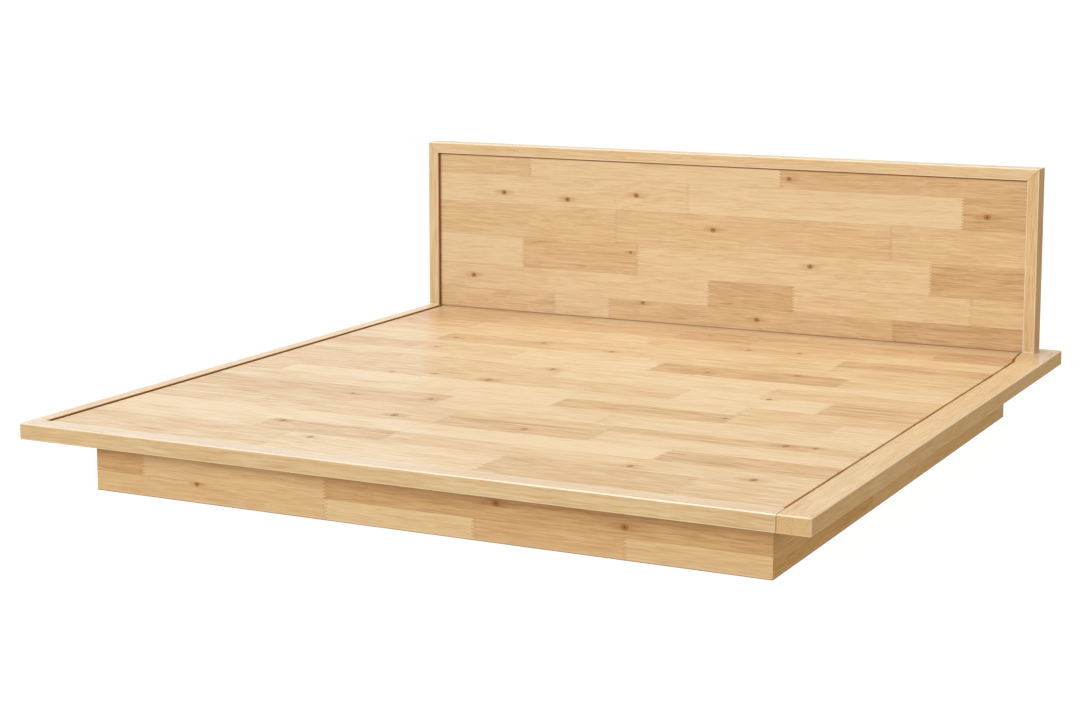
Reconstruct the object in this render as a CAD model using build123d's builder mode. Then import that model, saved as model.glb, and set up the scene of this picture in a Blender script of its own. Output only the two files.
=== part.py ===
"""King-size platform bed frame in finger-jointed softwood, with a framed headboard.

A plinth stands on the floor. Bearers lie across it and carry the rim rails, which hang outside it.
Drop-in deck panels lie on the bearers, a little below the top of the rim. The headboard stands on the
side rails and the head rail.

Millimetres. The origin is on the floor under the middle of the platform, with +X to the right of someone
who looks from the foot to the head, +Y to the head and +Z up.
"""

import os

from build123d import *

# Rim of the platform
platform_length = 2185.0
platform_width = 2105.0
rail_height = 42.0
left_rail_width = 38.0
right_rail_width = 80.0
foot_rail_width = 55.0
edge_round = 3.5
shoulder_step_length = 45.0
shoulder_taper_length = 100.0
shoulder_step_share = 0.6

# Deck panels that drop in on the bearers
deck_panel_count = 4
deck_thickness = 16.0
deck_recess = 3.5
deck_side_gap = 10.0
deck_end_gap = 1.0
deck_head_gap = 3.0

# Bearers under the deck
cross_bearer_width = 90.0
bearer_lap = 25.0
tenon_length = 18.0
tenon_width = 60.0
tenon_thickness = 10.0
tenon_setback = 15.0

# Plinth
plinth_height = 145.0
plinth_inset = 135.0
plinth_board = 25.0
divider_board = 22.0
corner_block_width = 45.0
corner_block_drop = 8.0

# Headboard
headboard_height = 545.0
headboard_depth = 65.0
headboard_right_inset = 62.0
headboard_back_inset = 20.0
frame_face = 35.0
frame_round = 2.5
panel_recess = 14.0
panel_thickness = 20.0
groove_depth = 10.0
groove_play = 2.0
cleat_height = 45.0
batten_count = 3
batten_width = 70.0
batten_inset = 7.0
batten_play = 1.0

# Dowels
rail_dowel_diameter = 8.0
rail_dowel_long_half = 22.0
rail_dowel_short_half = 10.0
bearer_dowel_diameter = 8.0
bearer_dowel_half = 18.0
bearer_dowel_count = 6
plinth_dowel_diameter = 8.0
plinth_dowel_in_board = 12.0
plinth_dowel_in_divider = 24.0
mitre_dowel_diameter = 8.0
mitre_dowel_half = 14.0
foot_dowel_diameter = 10.0
foot_dowel_half = 24.0
foot_dowel_setback = 22.0

# Headboard bolts, with a washer under the head and a barrel nut in the stile
bolt_diameter = 8.0
bolt_head_diameter = 13.0
bolt_head_height = 8.0
bolt_socket_diameter = 6.0
bolt_socket_depth = 4.0
bolt_setback = 20.0
bolt_head_cover = 1.4
bolt_past_nut = 3.5
washer_diameter = 17.0
washer_thickness = 1.6
barrel_nut_diameter = 13.0
barrel_nut_length = 24.0
barrel_nut_height = 42.0

# Screws with countersunk heads
bearer_screw_diameter = 5.0
bearer_screw_bite = 40.0
end_bearer_screw_count = 4
tenon_screw_diameter = 4.0
plate_screw_diameter = 4.0
plate_screw_length = 13.0
block_screw_diameter = 5.0
block_screw_bite = 15.0
cleat_screw_diameter = 5.0
cleat_screw_bite = 24.0
cleat_screw_count = 6
batten_screw_diameter = 4.0
batten_screw_bite = 12.0
batten_screw_count = 3
head_to_shank = 2.0

# Steel plates let into the underside of the two foot corners
plate_thickness = 3.0
plate_width = 22.0
plate_leg = 90.0
plate_tenon_gap = 5.0
plate_screw_spacing = 24.0
plate_end_margin = 12.0

# Fits
fit_gap = 0.2
hole_end_play = 1.0

# Planes that several pieces share
left, right = -platform_width / 2, platform_width / 2
foot, head = -platform_length / 2, platform_length / 2
rim_bottom = plinth_height
rim_top = plinth_height + rail_height
rim_middle = (rim_bottom + rim_top) / 2
deck_top = rim_top - deck_recess
deck_bottom = deck_top - deck_thickness
bearer_middle = (rim_bottom + deck_bottom) / 2
left_inner = left + left_rail_width
right_inner = right - right_rail_width
foot_inner = foot + foot_rail_width
frame_right = right - headboard_right_inset
frame_back = head - headboard_back_inset
frame_front = frame_back - headboard_depth
frame_top = rim_top + headboard_height
panel_front = frame_front + panel_recess
panel_back = panel_front + panel_thickness
right_head_inner = frame_right - frame_face
right_innermost = min(right_inner, right_head_inner)
head_rail_width = head - panel_front
head_rail_middle = (rim_bottom + deck_top) / 2

# The right rail widens at the head, so that the stile's inner face lines up with its edge
shoulder_step = shoulder_step_share * (right_inner - right_head_inner)
right_edge_points = [
    (right_inner, foot),
    (right_inner, frame_front - shoulder_taper_length - shoulder_step_length),
    (right_inner - shoulder_step, frame_front - shoulder_taper_length),
    (right_head_inner, frame_front),
    (right_head_inner, head),
]


def inside_rim(gap):
    """Corners of the space between the side rails, this far from both of them."""
    right_edge = [(x - gap, y) for x, y in right_edge_points]
    return [(left_inner + gap, foot), *right_edge, (left_inner + gap, head)]


def spread(low, high, count):
    """Middles of equal stretches between two values."""
    return [low + (high - low) * (index + 0.5) / count for index in range(count)]


def block(x, y, z, mode=Mode.ADD):
    """A box between two values on each axis."""
    with Locations(((x[0] + x[1]) / 2, (y[0] + y[1]) / 2, (z[0] + z[1]) / 2)):
        Box(x[1] - x[0], y[1] - y[0], z[1] - z[0], mode=mode)


def pins(ends, diameter):
    """Round pins, each from one point to another."""
    for start, end in ends:
        way = Vector(*end) - Vector(*start)
        with Locations(Plane(origin=start, z_dir=way)):
            Cylinder(diameter / 2, way.length, align=(Align.CENTER, Align.CENTER, Align.MIN))


def pin_holes(ends, diameter):
    """Holes for such pins, a little wider and longer."""
    bores = []
    for start, end in ends:
        way = Vector(*end) - Vector(*start)
        with Locations(Plane(origin=Vector(*start) - way.normalized() * hole_end_play, z_dir=way)):
            bore = Cylinder(
                diameter / 2 + fit_gap,
                way.length + 2 * hole_end_play,
                align=(Align.CENTER, Align.CENTER, Align.MIN),
                mode=Mode.PRIVATE,
            )
            bores.append(bore)
    add(bores, mode=Mode.SUBTRACT)


def screws(ends, diameter):
    """Countersunk screws, each from the flat of its head to its tip."""
    for start, end in ends:
        way = Vector(*end) - Vector(*start)
        head_radius = head_to_shank * diameter / 2
        with Locations(Plane(origin=start, z_dir=way)):
            Cylinder(diameter / 2, way.length, align=(Align.CENTER, Align.CENTER, Align.MIN))
            Cone(
                head_radius,
                diameter / 2,
                head_radius - diameter / 2,
                align=(Align.CENTER, Align.CENTER, Align.MIN),
            )


def screw_holes(ends, diameter):
    """Countersunk holes for such screws, a little wider and longer."""
    bores = []
    for start, end in ends:
        way = Vector(*end) - Vector(*start)
        head_radius = head_to_shank * diameter / 2
        with Locations(Plane(origin=start, z_dir=way)):
            shank = Cylinder(
                diameter / 2 + fit_gap,
                way.length + hole_end_play,
                align=(Align.CENTER, Align.CENTER, Align.MIN),
                mode=Mode.PRIVATE,
            )
            countersink = Cone(
                head_radius + fit_gap,
                diameter / 2 + fit_gap,
                head_radius - diameter / 2,
                align=(Align.CENTER, Align.CENTER, Align.MIN),
                mode=Mode.PRIVATE,
            )
            bores += [shank, countersink]
    add(bores, mode=Mode.SUBTRACT)


def save(builder, name):
    """Label a finished piece and write it to its own file."""
    builder.part.label = name
    export_step(builder.part, f"parts/{name}.step")


os.makedirs("parts", exist_ok=True)

# Deck panels and bearers: a bearer lies under each seam and under the middle of each panel
deck_foot = foot_inner + deck_end_gap
deck_head = panel_front - deck_head_gap
deck_pitch = (deck_head - deck_foot + deck_end_gap) / deck_panel_count
cross_bearer_middles = [
    deck_foot - deck_end_gap / 2 + deck_pitch * index / 2 for index in range(1, 2 * deck_panel_count)
]
foot_bearer_edge = foot + plinth_inset + plinth_board + bearer_lap
head_bearer_edge = head - plinth_inset - plinth_board - bearer_lap
bearer_spans = {
    "end_bearer_foot": (foot_inner, foot_bearer_edge),
    **{
        f"cross_bearer_{index}": (middle - cross_bearer_width / 2, middle + cross_bearer_width / 2)
        for index, middle in enumerate(cross_bearer_middles, start=1)
    },
    "end_bearer_head": (head_bearer_edge, panel_front),
}
tenon_middles = {
    **{f"cross_bearer_{index}": middle for index, middle in enumerate(cross_bearer_middles, start=1)},
    "end_bearer_foot": foot_bearer_edge - tenon_setback - tenon_width / 2,
    "end_bearer_head": head_bearer_edge + tenon_setback + tenon_width / 2,
}
tenon_tips = (left_inner - tenon_length, right_inner + tenon_length)
tenon_low = bearer_middle - tenon_thickness / 2
tenon_high = bearer_middle + tenon_thickness / 2

# Plinth planes
plinth_left, plinth_right = left + plinth_inset, right - plinth_inset
plinth_foot, plinth_head = foot + plinth_inset, head - plinth_inset
plinth_inside_x = (plinth_left + plinth_board, plinth_right - plinth_board)
plinth_inside_y = (plinth_foot + plinth_board, plinth_head - plinth_board)
plinth_board_middles_x = (plinth_left + plinth_board / 2, plinth_right - plinth_board / 2)
plinth_board_middles_y = (plinth_foot + plinth_board / 2, plinth_head - plinth_board / 2)
divider_middles = [
    sum(cross_bearer_middles[:2]) / 2,
    sum(cross_bearer_middles[-2:]) / 2,
]

# Dowels, as pairs of ends
thirds = (1 / 3, 2 / 3)
rail_dowels = []
for share in thirds:
    x = left + left_rail_width * share
    y = foot + foot_rail_width * share
    z = rim_middle
    rail_dowels += [
        ((x, foot_inner - rail_dowel_long_half, z), (x, foot_inner + rail_dowel_long_half, z)),
        ((right_inner - rail_dowel_long_half, y, z), (right_inner + rail_dowel_long_half, y, z)),
    ]
for share in thirds:
    y = panel_front + head_rail_width * share
    z = head_rail_middle
    rail_dowels += [
        ((left_inner - rail_dowel_short_half, y, z), (left_inner + rail_dowel_long_half, y, z)),
        ((right_head_inner - rail_dowel_long_half, y, z), (right_head_inner + rail_dowel_short_half, y, z)),
    ]

bearer_dowels = [
    ((x, y - bearer_dowel_half, bearer_middle), (x, y + bearer_dowel_half, bearer_middle))
    for y in (foot_inner, panel_front)
    for x in spread(left_inner, right_head_inner, bearer_dowel_count)
]

plinth_dowels = []
for share in thirds:
    z = plinth_height * share
    for wall, inward in ((plinth_inside_y[0], 1), (plinth_inside_y[1], -1)):
        start = wall - inward * plinth_dowel_in_board
        end = wall + inward * plinth_dowel_in_divider
        plinth_dowels.append(((0, start, z), (0, end, z)))
    for wall, inward in ((plinth_inside_x[0], 1), (plinth_inside_x[1], -1)):
        start = wall - inward * plinth_dowel_in_board
        end = wall + inward * plinth_dowel_in_divider
        plinth_dowels += [((start, y, z), (end, y, z)) for y in divider_middles]

mitre_dowels = []
for share in thirds:
    y = frame_front + headboard_depth * share
    z = frame_top - frame_face / 2
    for x, outward in ((left + frame_face / 2, -1), (frame_right - frame_face / 2, 1)):
        step = mitre_dowel_half / 2**0.5
        mitre_dowels.append(((x + outward * step, y, z - step), (x - outward * step, y, z + step)))

stile_middles = (left + frame_face / 2, frame_right - frame_face / 2)
foot_dowels = [
    ((x, frame_front + foot_dowel_setback, rim_top - foot_dowel_half),
     (x, frame_front + foot_dowel_setback, rim_top + foot_dowel_half))
    for x in stile_middles
]

# Screws, as pairs of head and tip
bearer_screws = [
    ((x, y, deck_bottom), (x, y, rim_bottom - bearer_screw_bite))
    for y in cross_bearer_middles
    for x in (plinth_board_middles_x[0], 0, plinth_board_middles_x[1])
]
bearer_screws += [
    ((x, y, deck_bottom), (x, y, rim_bottom - bearer_screw_bite))
    for y in plinth_board_middles_y
    for x in spread(*plinth_inside_x, end_bearer_screw_count)
]
tenon_screw_tip = tenon_high - hole_end_play - fit_gap
tenon_screws = [
    ((x, y, rim_bottom), (x, y, tenon_screw_tip))
    for y in tenon_middles.values()
    for x in (left_inner - tenon_length / 2, right_inner + tenon_length / 2)
]
cleat_middle = (panel_back + frame_back) / 2
cleat_ends = (max(left_inner, left + frame_face) + fit_gap, right_innermost - fit_gap)
cleat_screws = [
    ((x, cleat_middle, deck_top + cleat_height), (x, cleat_middle, deck_top - cleat_screw_bite))
    for x in spread(left_inner, right_head_inner, cleat_screw_count)
]
batten_back = frame_back - batten_inset
batten_foot = deck_top + cleat_height
batten_top = frame_top - frame_face - batten_play
batten_middles = spread(left_inner, right_head_inner, batten_count)
batten_screws = [
    ((x, batten_back, z), (x, panel_back - batten_screw_bite, z))
    for x in batten_middles
    for z in spread(batten_foot, batten_top, batten_screw_count)
]

block_names = {
    "corner_block_foot_left": (plinth_inside_x[0], plinth_inside_y[0], 1, 1),
    "corner_block_foot_right": (plinth_inside_x[1], plinth_inside_y[0], -1, 1),
    "corner_block_head_left": (plinth_inside_x[0], plinth_inside_y[1], 1, -1),
    "corner_block_head_right": (plinth_inside_x[1], plinth_inside_y[1], -1, -1),
}
block_screws = []
for x, y, way_x, way_y in block_names.values():
    low, high = (plinth_height * share for share in thirds)
    middle_x = x + way_x * corner_block_width / 2
    middle_y = y + way_y * corner_block_width / 2
    inner_x, tip_x = x + way_x * corner_block_width, x - way_x * block_screw_bite
    inner_y, tip_y = y + way_y * corner_block_width, y - way_y * block_screw_bite
    block_screws.append(((inner_x, middle_y, low), (tip_x, middle_y, low)))
    block_screws.append(((middle_x, inner_y, high), (middle_x, tip_y, high)))

# Foot corner plates: the corner's x, and the way and length of the leg along the foot rail. The other leg
# runs along the side rail and stops short of the first tenon
plate_corners = [
    (left + left_rail_width / 2, 1, plate_leg),
    (right - right_rail_width / 2, -1, plate_leg + right_rail_width / 2),
]
plate_corner_y = foot + foot_rail_width / 2
plate_end_y = tenon_middles["end_bearer_foot"] - tenon_width / 2 - plate_tenon_gap
plate_screws = []
for x, way, leg_x in plate_corners:
    for back in (plate_end_margin, plate_end_margin + plate_screw_spacing):
        for place in ((x + way * (leg_x - back), plate_corner_y), (x, plate_end_y - back)):
            plate_screws.append(((*place, rim_bottom), (*place, rim_bottom + plate_screw_length)))


def plate_blocks(gap, mode):
    """The two L-shaped plates, or with a gap the pockets that they lie in."""
    half = plate_width / 2 + gap
    z = (rim_bottom, rim_bottom + plate_thickness + gap)
    for x, way, leg_x in plate_corners:
        ends = sorted((x - way * half, x + way * (leg_x + gap)))
        block(ends, (plate_corner_y - half, plate_corner_y + half), z, mode)
        block((x - half, x + half), (plate_corner_y - half, plate_end_y + gap), z, mode)


def mortises():
    """Mortises in the side rails for the tenons of all the bearers."""
    for middle in tenon_middles.values():
        block(
            (tenon_tips[0] - hole_end_play, left_inner),
            (middle - tenon_width / 2 - fit_gap, middle + tenon_width / 2 + fit_gap),
            (tenon_low - fit_gap, tenon_high + fit_gap),
            Mode.SUBTRACT,
        )
        block(
            (right_innermost, tenon_tips[1] + hole_end_play),
            (middle - tenon_width / 2 - fit_gap, middle + tenon_width / 2 + fit_gap),
            (tenon_low - fit_gap, tenon_high + fit_gap),
            Mode.SUBTRACT,
        )


bolts = [(x, frame_back - bolt_setback) for x in stile_middles]
bolt_recess = bolt_head_height + washer_thickness + bolt_head_cover
bolt_reach = barrel_nut_height + barrel_nut_diameter / 2 + bolt_past_nut


def bolt_holes():
    """Bores for the headboard bolts, with a recess for the head and washer in the rail's underside."""
    with Locations(*((x, y, rim_bottom) for x, y in bolts)):
        Cylinder(
            bolt_diameter / 2 + fit_gap,
            rail_height + bolt_reach + hole_end_play,
            align=(Align.CENTER, Align.CENTER, Align.MIN),
            mode=Mode.SUBTRACT,
        )
        Cylinder(
            washer_diameter / 2 + fit_gap,
            bolt_recess,
            align=(Align.CENTER, Align.CENTER, Align.MIN),
            mode=Mode.SUBTRACT,
        )


# Left side rail: butts against the foot rail and runs to the head
with BuildPart() as side_rail_left:
    block((left, left_inner), (foot_inner, head), (rim_bottom, rim_top))
    outer = side_rail_left.faces().sort_by(Axis.X)[0].edges()
    top_inner = side_rail_left.edges().filter_by(Axis.Y).group_by(Axis.X)[-1].sort_by(Axis.Z)[-1]
    fillet([*outer.filter_by(Axis.Y), outer.sort_by(Axis.Y)[-1], top_inner], edge_round)
    mortises()
    pin_holes(rail_dowels, rail_dowel_diameter)
    pin_holes(foot_dowels, foot_dowel_diameter)
    screw_holes(tenon_screws, tenon_screw_diameter)
    plate_blocks(fit_gap, Mode.SUBTRACT)
    screw_holes(plate_screws, plate_screw_diameter)
    bolt_holes()
save(side_rail_left, "side_rail_left")

# Right side rail: runs through to the foot, and widens inwards at the head
with BuildPart() as side_rail_right:
    with BuildSketch(Plane.XY.offset(rim_bottom)):
        Polygon(*right_edge_points, (right, head), (right, foot), align=None)
    extrude(amount=rail_height)
    outer = side_rail_right.faces().sort_by(Axis.X)[-1].edges()
    foot_end = side_rail_right.faces().sort_by(Axis.Y)[0].edges()
    top_inner = side_rail_right.faces().sort_by(Axis.Z)[-1].edges().filter_by(Axis.Y).sort_by(Axis.Y)[0]
    foot_inner_corner = foot_end.filter_by(Axis.Z).sort_by(Axis.X)[0]
    fillet([*outer, *foot_end.filter_by(Axis.X), foot_inner_corner, top_inner], edge_round)
    mortises()
    pin_holes(rail_dowels, rail_dowel_diameter)
    pin_holes(foot_dowels, foot_dowel_diameter)
    screw_holes(tenon_screws, tenon_screw_diameter)
    plate_blocks(fit_gap, Mode.SUBTRACT)
    screw_holes(plate_screws, plate_screw_diameter)
    bolt_holes()
save(side_rail_right, "side_rail_right")

# Foot rail: runs to the left corner, and butts against the right rail
with BuildPart() as foot_rail:
    block((left, right_inner), (foot, foot_inner), (rim_bottom, rim_top))
    front = foot_rail.faces().sort_by(Axis.Y)[0].edges()
    left_end = foot_rail.faces().sort_by(Axis.X)[0].edges()
    fillet([*front.filter_by(Axis.X), *left_end.filter_by(Axis.Y), left_end.sort_by(Axis.Y)[0]], edge_round)
    pin_holes(rail_dowels, rail_dowel_diameter)
    pin_holes(bearer_dowels, bearer_dowel_diameter)
    plate_blocks(fit_gap, Mode.SUBTRACT)
    screw_holes(plate_screws, plate_screw_diameter)
save(foot_rail, "foot_rail")

# Head rail: level with the deck, under the headboard panel
with BuildPart() as head_rail:
    block((left_inner, right_head_inner), (panel_front, head), (rim_bottom, deck_top))
    fillet(head_rail.faces().sort_by(Axis.Y)[-1].edges().filter_by(Axis.X), edge_round)
    pin_holes(rail_dowels, rail_dowel_diameter)
    pin_holes(bearer_dowels, bearer_dowel_diameter)
    screw_holes(cleat_screws, cleat_screw_diameter)
save(head_rail, "head_rail")

# Bearers: flat boards across the bed, tenoned into both side rails
for name, (start, end) in bearer_spans.items():
    tenon_middle = tenon_middles[name]
    with BuildPart() as bearer:
        with BuildSketch(Plane.XY.offset(rim_bottom)):
            Polygon(*inside_rim(0), align=None)
            with Locations((0, (start + end) / 2)):
                Rectangle(platform_width, end - start, mode=Mode.INTERSECT)
        extrude(amount=deck_bottom - rim_bottom)
        block(
            (tenon_tips[0], left_inner),
            (tenon_middle - tenon_width / 2, tenon_middle + tenon_width / 2),
            (tenon_low, tenon_high),
        )
        block(
            (right_innermost, tenon_tips[1]),
            (tenon_middle - tenon_width / 2, tenon_middle + tenon_width / 2),
            (tenon_low, tenon_high),
        )
        pin_holes(bearer_dowels, bearer_dowel_diameter)
        screw_holes(bearer_screws, bearer_screw_diameter)
        screw_holes(tenon_screws, tenon_screw_diameter)
    save(bearer, name)

# Deck panels
for index in range(deck_panel_count):
    panel_start = deck_foot + index * deck_pitch
    panel_end = panel_start + deck_pitch - deck_end_gap
    with BuildPart() as deck_panel:
        with BuildSketch(Plane.XY.offset(deck_bottom)):
            Polygon(*inside_rim(deck_side_gap), align=None)
            with Locations((0, (panel_start + panel_end) / 2)):
                Rectangle(platform_width, panel_end - panel_start, mode=Mode.INTERSECT)
        extrude(amount=deck_thickness)
    save(deck_panel, f"deck_panel_{index + 1}")

# Plinth boards, mitred at the corners
plinth_outer = [
    (plinth_left, plinth_foot),
    (plinth_right, plinth_foot),
    (plinth_right, plinth_head),
    (plinth_left, plinth_head),
]
plinth_inner = [
    (plinth_inside_x[0], plinth_inside_y[0]),
    (plinth_inside_x[1], plinth_inside_y[0]),
    (plinth_inside_x[1], plinth_inside_y[1]),
    (plinth_inside_x[0], plinth_inside_y[1]),
]
for index, name in enumerate(("plinth_front", "plinth_right", "plinth_rear", "plinth_left")):
    following = (index + 1) % len(plinth_outer)
    with BuildPart() as plinth_side:
        with BuildSketch():
            Polygon(
                plinth_outer[index],
                plinth_outer[following],
                plinth_inner[following],
                plinth_inner[index],
                align=None,
            )
        extrude(amount=plinth_height)
        pin_holes(plinth_dowels, plinth_dowel_diameter)
        screw_holes(bearer_screws, bearer_screw_diameter)
        screw_holes(block_screws, block_screw_diameter)
    save(plinth_side, name)

# Spine: runs along the middle of the plinth, slotted from the top for the dividers
slot_width = divider_board + 2 * fit_gap
with BuildPart() as plinth_spine:
    block((-divider_board / 2, divider_board / 2), plinth_inside_y, (0, plinth_height))
    for y in divider_middles:
        block(
            (-divider_board / 2, divider_board / 2),
            (y - slot_width / 2, y + slot_width / 2),
            (plinth_height / 2, plinth_height),
            Mode.SUBTRACT,
        )
    pin_holes(plinth_dowels, plinth_dowel_diameter)
    screw_holes(bearer_screws, bearer_screw_diameter)
save(plinth_spine, "plinth_spine")

# Dividers: cross the spine, slotted from below to drop over it
for name, y in zip(("plinth_divider_foot", "plinth_divider_head"), divider_middles):
    with BuildPart() as plinth_divider:
        block(plinth_inside_x, (y - divider_board / 2, y + divider_board / 2), (0, plinth_height))
        block(
            (-slot_width / 2, slot_width / 2),
            (y - divider_board / 2, y + divider_board / 2),
            (0, plinth_height / 2),
            Mode.SUBTRACT,
        )
        pin_holes(plinth_dowels, plinth_dowel_diameter)
    save(plinth_divider, name)

# Corner blocks inside the plinth
for name, (x, y, way_x, way_y) in block_names.items():
    with BuildPart() as corner_block:
        block(
            sorted((x, x + way_x * corner_block_width)),
            sorted((y, y + way_y * corner_block_width)),
            (corner_block_drop, plinth_height - corner_block_drop),
        )
        screw_holes(block_screws, block_screw_diameter)
    save(corner_block, name)

# Headboard stiles, mitred at the top and grooved for the panel
stile_outlines = {
    "headboard_stile_left": (left, 1),
    "headboard_stile_right": (frame_right, -1),
}
groove_y = (panel_front - fit_gap, panel_back + fit_gap)
nut_hole_depth = bolt_setback + barrel_nut_length / 2 + hole_end_play
for name, (outer_x, way) in stile_outlines.items():
    inner_x = outer_x + way * frame_face
    groove_x = sorted((inner_x, inner_x - way * groove_depth))
    nut_hole_mouth = ((outer_x + inner_x) / 2, frame_back, rim_top + barrel_nut_height)
    with BuildPart() as stile:
        with BuildSketch(Plane.XZ.offset(-frame_back)):
            Polygon(
                (outer_x, rim_top),
                (inner_x, rim_top),
                (inner_x, frame_top - frame_face),
                (outer_x, frame_top),
                align=None,
            )
        extrude(amount=headboard_depth)
        fillet(stile.edges().filter_by(Axis.Z), frame_round)
        block(groove_x, groove_y, (rim_top, frame_top), Mode.SUBTRACT)
        pin_holes(mitre_dowels, mitre_dowel_diameter)
        pin_holes(foot_dowels, foot_dowel_diameter)
        bolt_holes()
        with Locations(Plane(nut_hole_mouth, z_dir=(0, -1, 0))):
            Cylinder(
                barrel_nut_diameter / 2 + fit_gap,
                nut_hole_depth,
                align=(Align.CENTER, Align.CENTER, Align.MIN),
                mode=Mode.SUBTRACT,
            )
    save(stile, name)

# Headboard top rail
with BuildPart() as headboard_top_rail:
    with BuildSketch(Plane.XZ.offset(-frame_back)):
        Polygon(
            (left, frame_top),
            (left + frame_face, frame_top - frame_face),
            (frame_right - frame_face, frame_top - frame_face),
            (frame_right, frame_top),
            align=None,
        )
    extrude(amount=headboard_depth)
    fillet(headboard_top_rail.edges().filter_by(Axis.X), frame_round)
    groove_z = (frame_top - frame_face, frame_top - frame_face + groove_depth)
    block((left, frame_right), groove_y, groove_z, Mode.SUBTRACT)
    pin_holes(mitre_dowels, mitre_dowel_diameter)
save(headboard_top_rail, "headboard_top_rail")

# Headboard panel: in the grooves of the frame, its foot on the head rail between the side rails
tongue = groove_depth - groove_play
with BuildPart() as headboard_panel:
    block(
        (left + frame_face - tongue, right_head_inner + tongue),
        (panel_front, panel_back),
        (rim_top + fit_gap, frame_top - frame_face + tongue),
    )
    block(
        (left_inner + fit_gap, right_head_inner - fit_gap),
        (panel_front, panel_back),
        (deck_top, rim_top + fit_gap),
    )
    screw_holes(batten_screws, batten_screw_diameter)
save(headboard_panel, "headboard_panel")

# Foot cleat behind the panel
with BuildPart() as headboard_foot_cleat:
    block(cleat_ends, (panel_back, frame_back), (deck_top, deck_top + cleat_height))
    screw_holes(cleat_screws, cleat_screw_diameter)
save(headboard_foot_cleat, "headboard_foot_cleat")

# Upright battens behind the panel
for index, x in enumerate(batten_middles, start=1):
    with BuildPart() as batten:
        block(
            (x - batten_width / 2, x + batten_width / 2),
            (panel_back, batten_back),
            (batten_foot, batten_top),
        )
        screw_holes(batten_screws, batten_screw_diameter)
    save(batten, f"headboard_batten_{index}")

# Dowels
dowel_groups = {
    "rail_dowels": (rail_dowels, rail_dowel_diameter),
    "bearer_dowels": (bearer_dowels, bearer_dowel_diameter),
    "plinth_dowels": (plinth_dowels, plinth_dowel_diameter),
    "mitre_dowels": (mitre_dowels, mitre_dowel_diameter),
    "headboard_foot_dowels": (foot_dowels, foot_dowel_diameter),
}
for name, (ends, diameter) in dowel_groups.items():
    with BuildPart() as dowels:
        pins(ends, diameter)
    save(dowels, name)

# Screws
screw_groups = {
    "bearer_screws": (bearer_screws, bearer_screw_diameter),
    "tenon_screws": (tenon_screws, tenon_screw_diameter),
    "corner_plate_screws": (plate_screws, plate_screw_diameter),
    "corner_block_screws": (block_screws, block_screw_diameter),
    "cleat_screws": (cleat_screws, cleat_screw_diameter),
    "batten_screws": (batten_screws, batten_screw_diameter),
}
for name, (ends, diameter) in screw_groups.items():
    with BuildPart() as screw_group:
        screws(ends, diameter)
    save(screw_group, name)

# Foot corner plates
with BuildPart() as corner_plates:
    plate_blocks(0, Mode.ADD)
    screw_holes(plate_screws, plate_screw_diameter)
save(corner_plates, "corner_plates")

# Headboard bolts with socket heads
bolt_head_top = rim_bottom + bolt_recess - washer_thickness
with BuildPart() as headboard_bolts:
    with Locations(*((x, y, bolt_head_top) for x, y in bolts)):
        Cylinder(
            bolt_head_diameter / 2,
            bolt_head_height,
            align=(Align.CENTER, Align.CENTER, Align.MAX),
        )
        Cylinder(
            bolt_diameter / 2,
            rim_top + bolt_reach - bolt_head_top,
            align=(Align.CENTER, Align.CENTER, Align.MIN),
        )
    with BuildSketch(Plane.XY.offset(bolt_head_top - bolt_head_height)):
        with Locations(*bolts):
            RegularPolygon(bolt_socket_diameter / 2, 6)
    extrude(amount=bolt_socket_depth, mode=Mode.SUBTRACT)
save(headboard_bolts, "headboard_bolts")

# Washers under the bolt heads
with BuildPart() as bolt_washers:
    with Locations(*((x, y, bolt_head_top) for x, y in bolts)):
        Cylinder(
            washer_diameter / 2,
            washer_thickness,
            align=(Align.CENTER, Align.CENTER, Align.MIN),
        )
        Cylinder(
            bolt_diameter / 2 + fit_gap,
            washer_thickness,
            align=(Align.CENTER, Align.CENTER, Align.MIN),
            mode=Mode.SUBTRACT,
        )
save(bolt_washers, "bolt_washers")

# Barrel nuts across the bolts, put in from the stiles' backs
with BuildPart() as barrel_nuts:
    for x, y in bolts:
        with Locations(Plane((x, y, rim_top + barrel_nut_height), z_dir=(0, -1, 0))):
            Cylinder(barrel_nut_diameter / 2, barrel_nut_length)
    bolt_holes()
save(barrel_nuts, "barrel_nuts")
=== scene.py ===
"""Looks of the wooden platform bed frame.

Every board is pine. The deck, the headboard panel and the plinth are glued up from finger-jointed staves, the
rails and the headboard's frame are single boards, and the hidden carcass is planed and left bare. Dowels are
beech, and screws, bolts and plates are zinc-plated steel.

Metres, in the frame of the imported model: +Y is the head, +X the right side and +Z up.
"""

import itertools
import math
import random
from collections import namedtuple

import bmesh
import bpy
from mathutils import Euler, Matrix, Vector


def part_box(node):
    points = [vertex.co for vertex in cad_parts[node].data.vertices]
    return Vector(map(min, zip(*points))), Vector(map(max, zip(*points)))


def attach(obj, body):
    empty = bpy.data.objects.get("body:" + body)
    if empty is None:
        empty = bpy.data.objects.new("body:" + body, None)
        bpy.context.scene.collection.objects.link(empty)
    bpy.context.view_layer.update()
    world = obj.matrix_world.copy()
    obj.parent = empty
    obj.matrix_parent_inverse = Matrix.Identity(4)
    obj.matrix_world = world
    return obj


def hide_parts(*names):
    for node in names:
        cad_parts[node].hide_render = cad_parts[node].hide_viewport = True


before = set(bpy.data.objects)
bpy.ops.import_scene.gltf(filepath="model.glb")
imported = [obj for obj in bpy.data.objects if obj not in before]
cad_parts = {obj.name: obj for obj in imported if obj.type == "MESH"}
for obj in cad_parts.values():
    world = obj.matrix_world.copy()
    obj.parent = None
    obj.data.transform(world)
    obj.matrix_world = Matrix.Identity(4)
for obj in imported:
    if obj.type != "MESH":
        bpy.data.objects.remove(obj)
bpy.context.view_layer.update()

MM = 0.001
BED = "bed_frame"
X_WAY, Y_WAY, Z_WAY = Vector((1, 0, 0)), Vector((0, 1, 0)), Vector((0, 0, 1))

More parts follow.
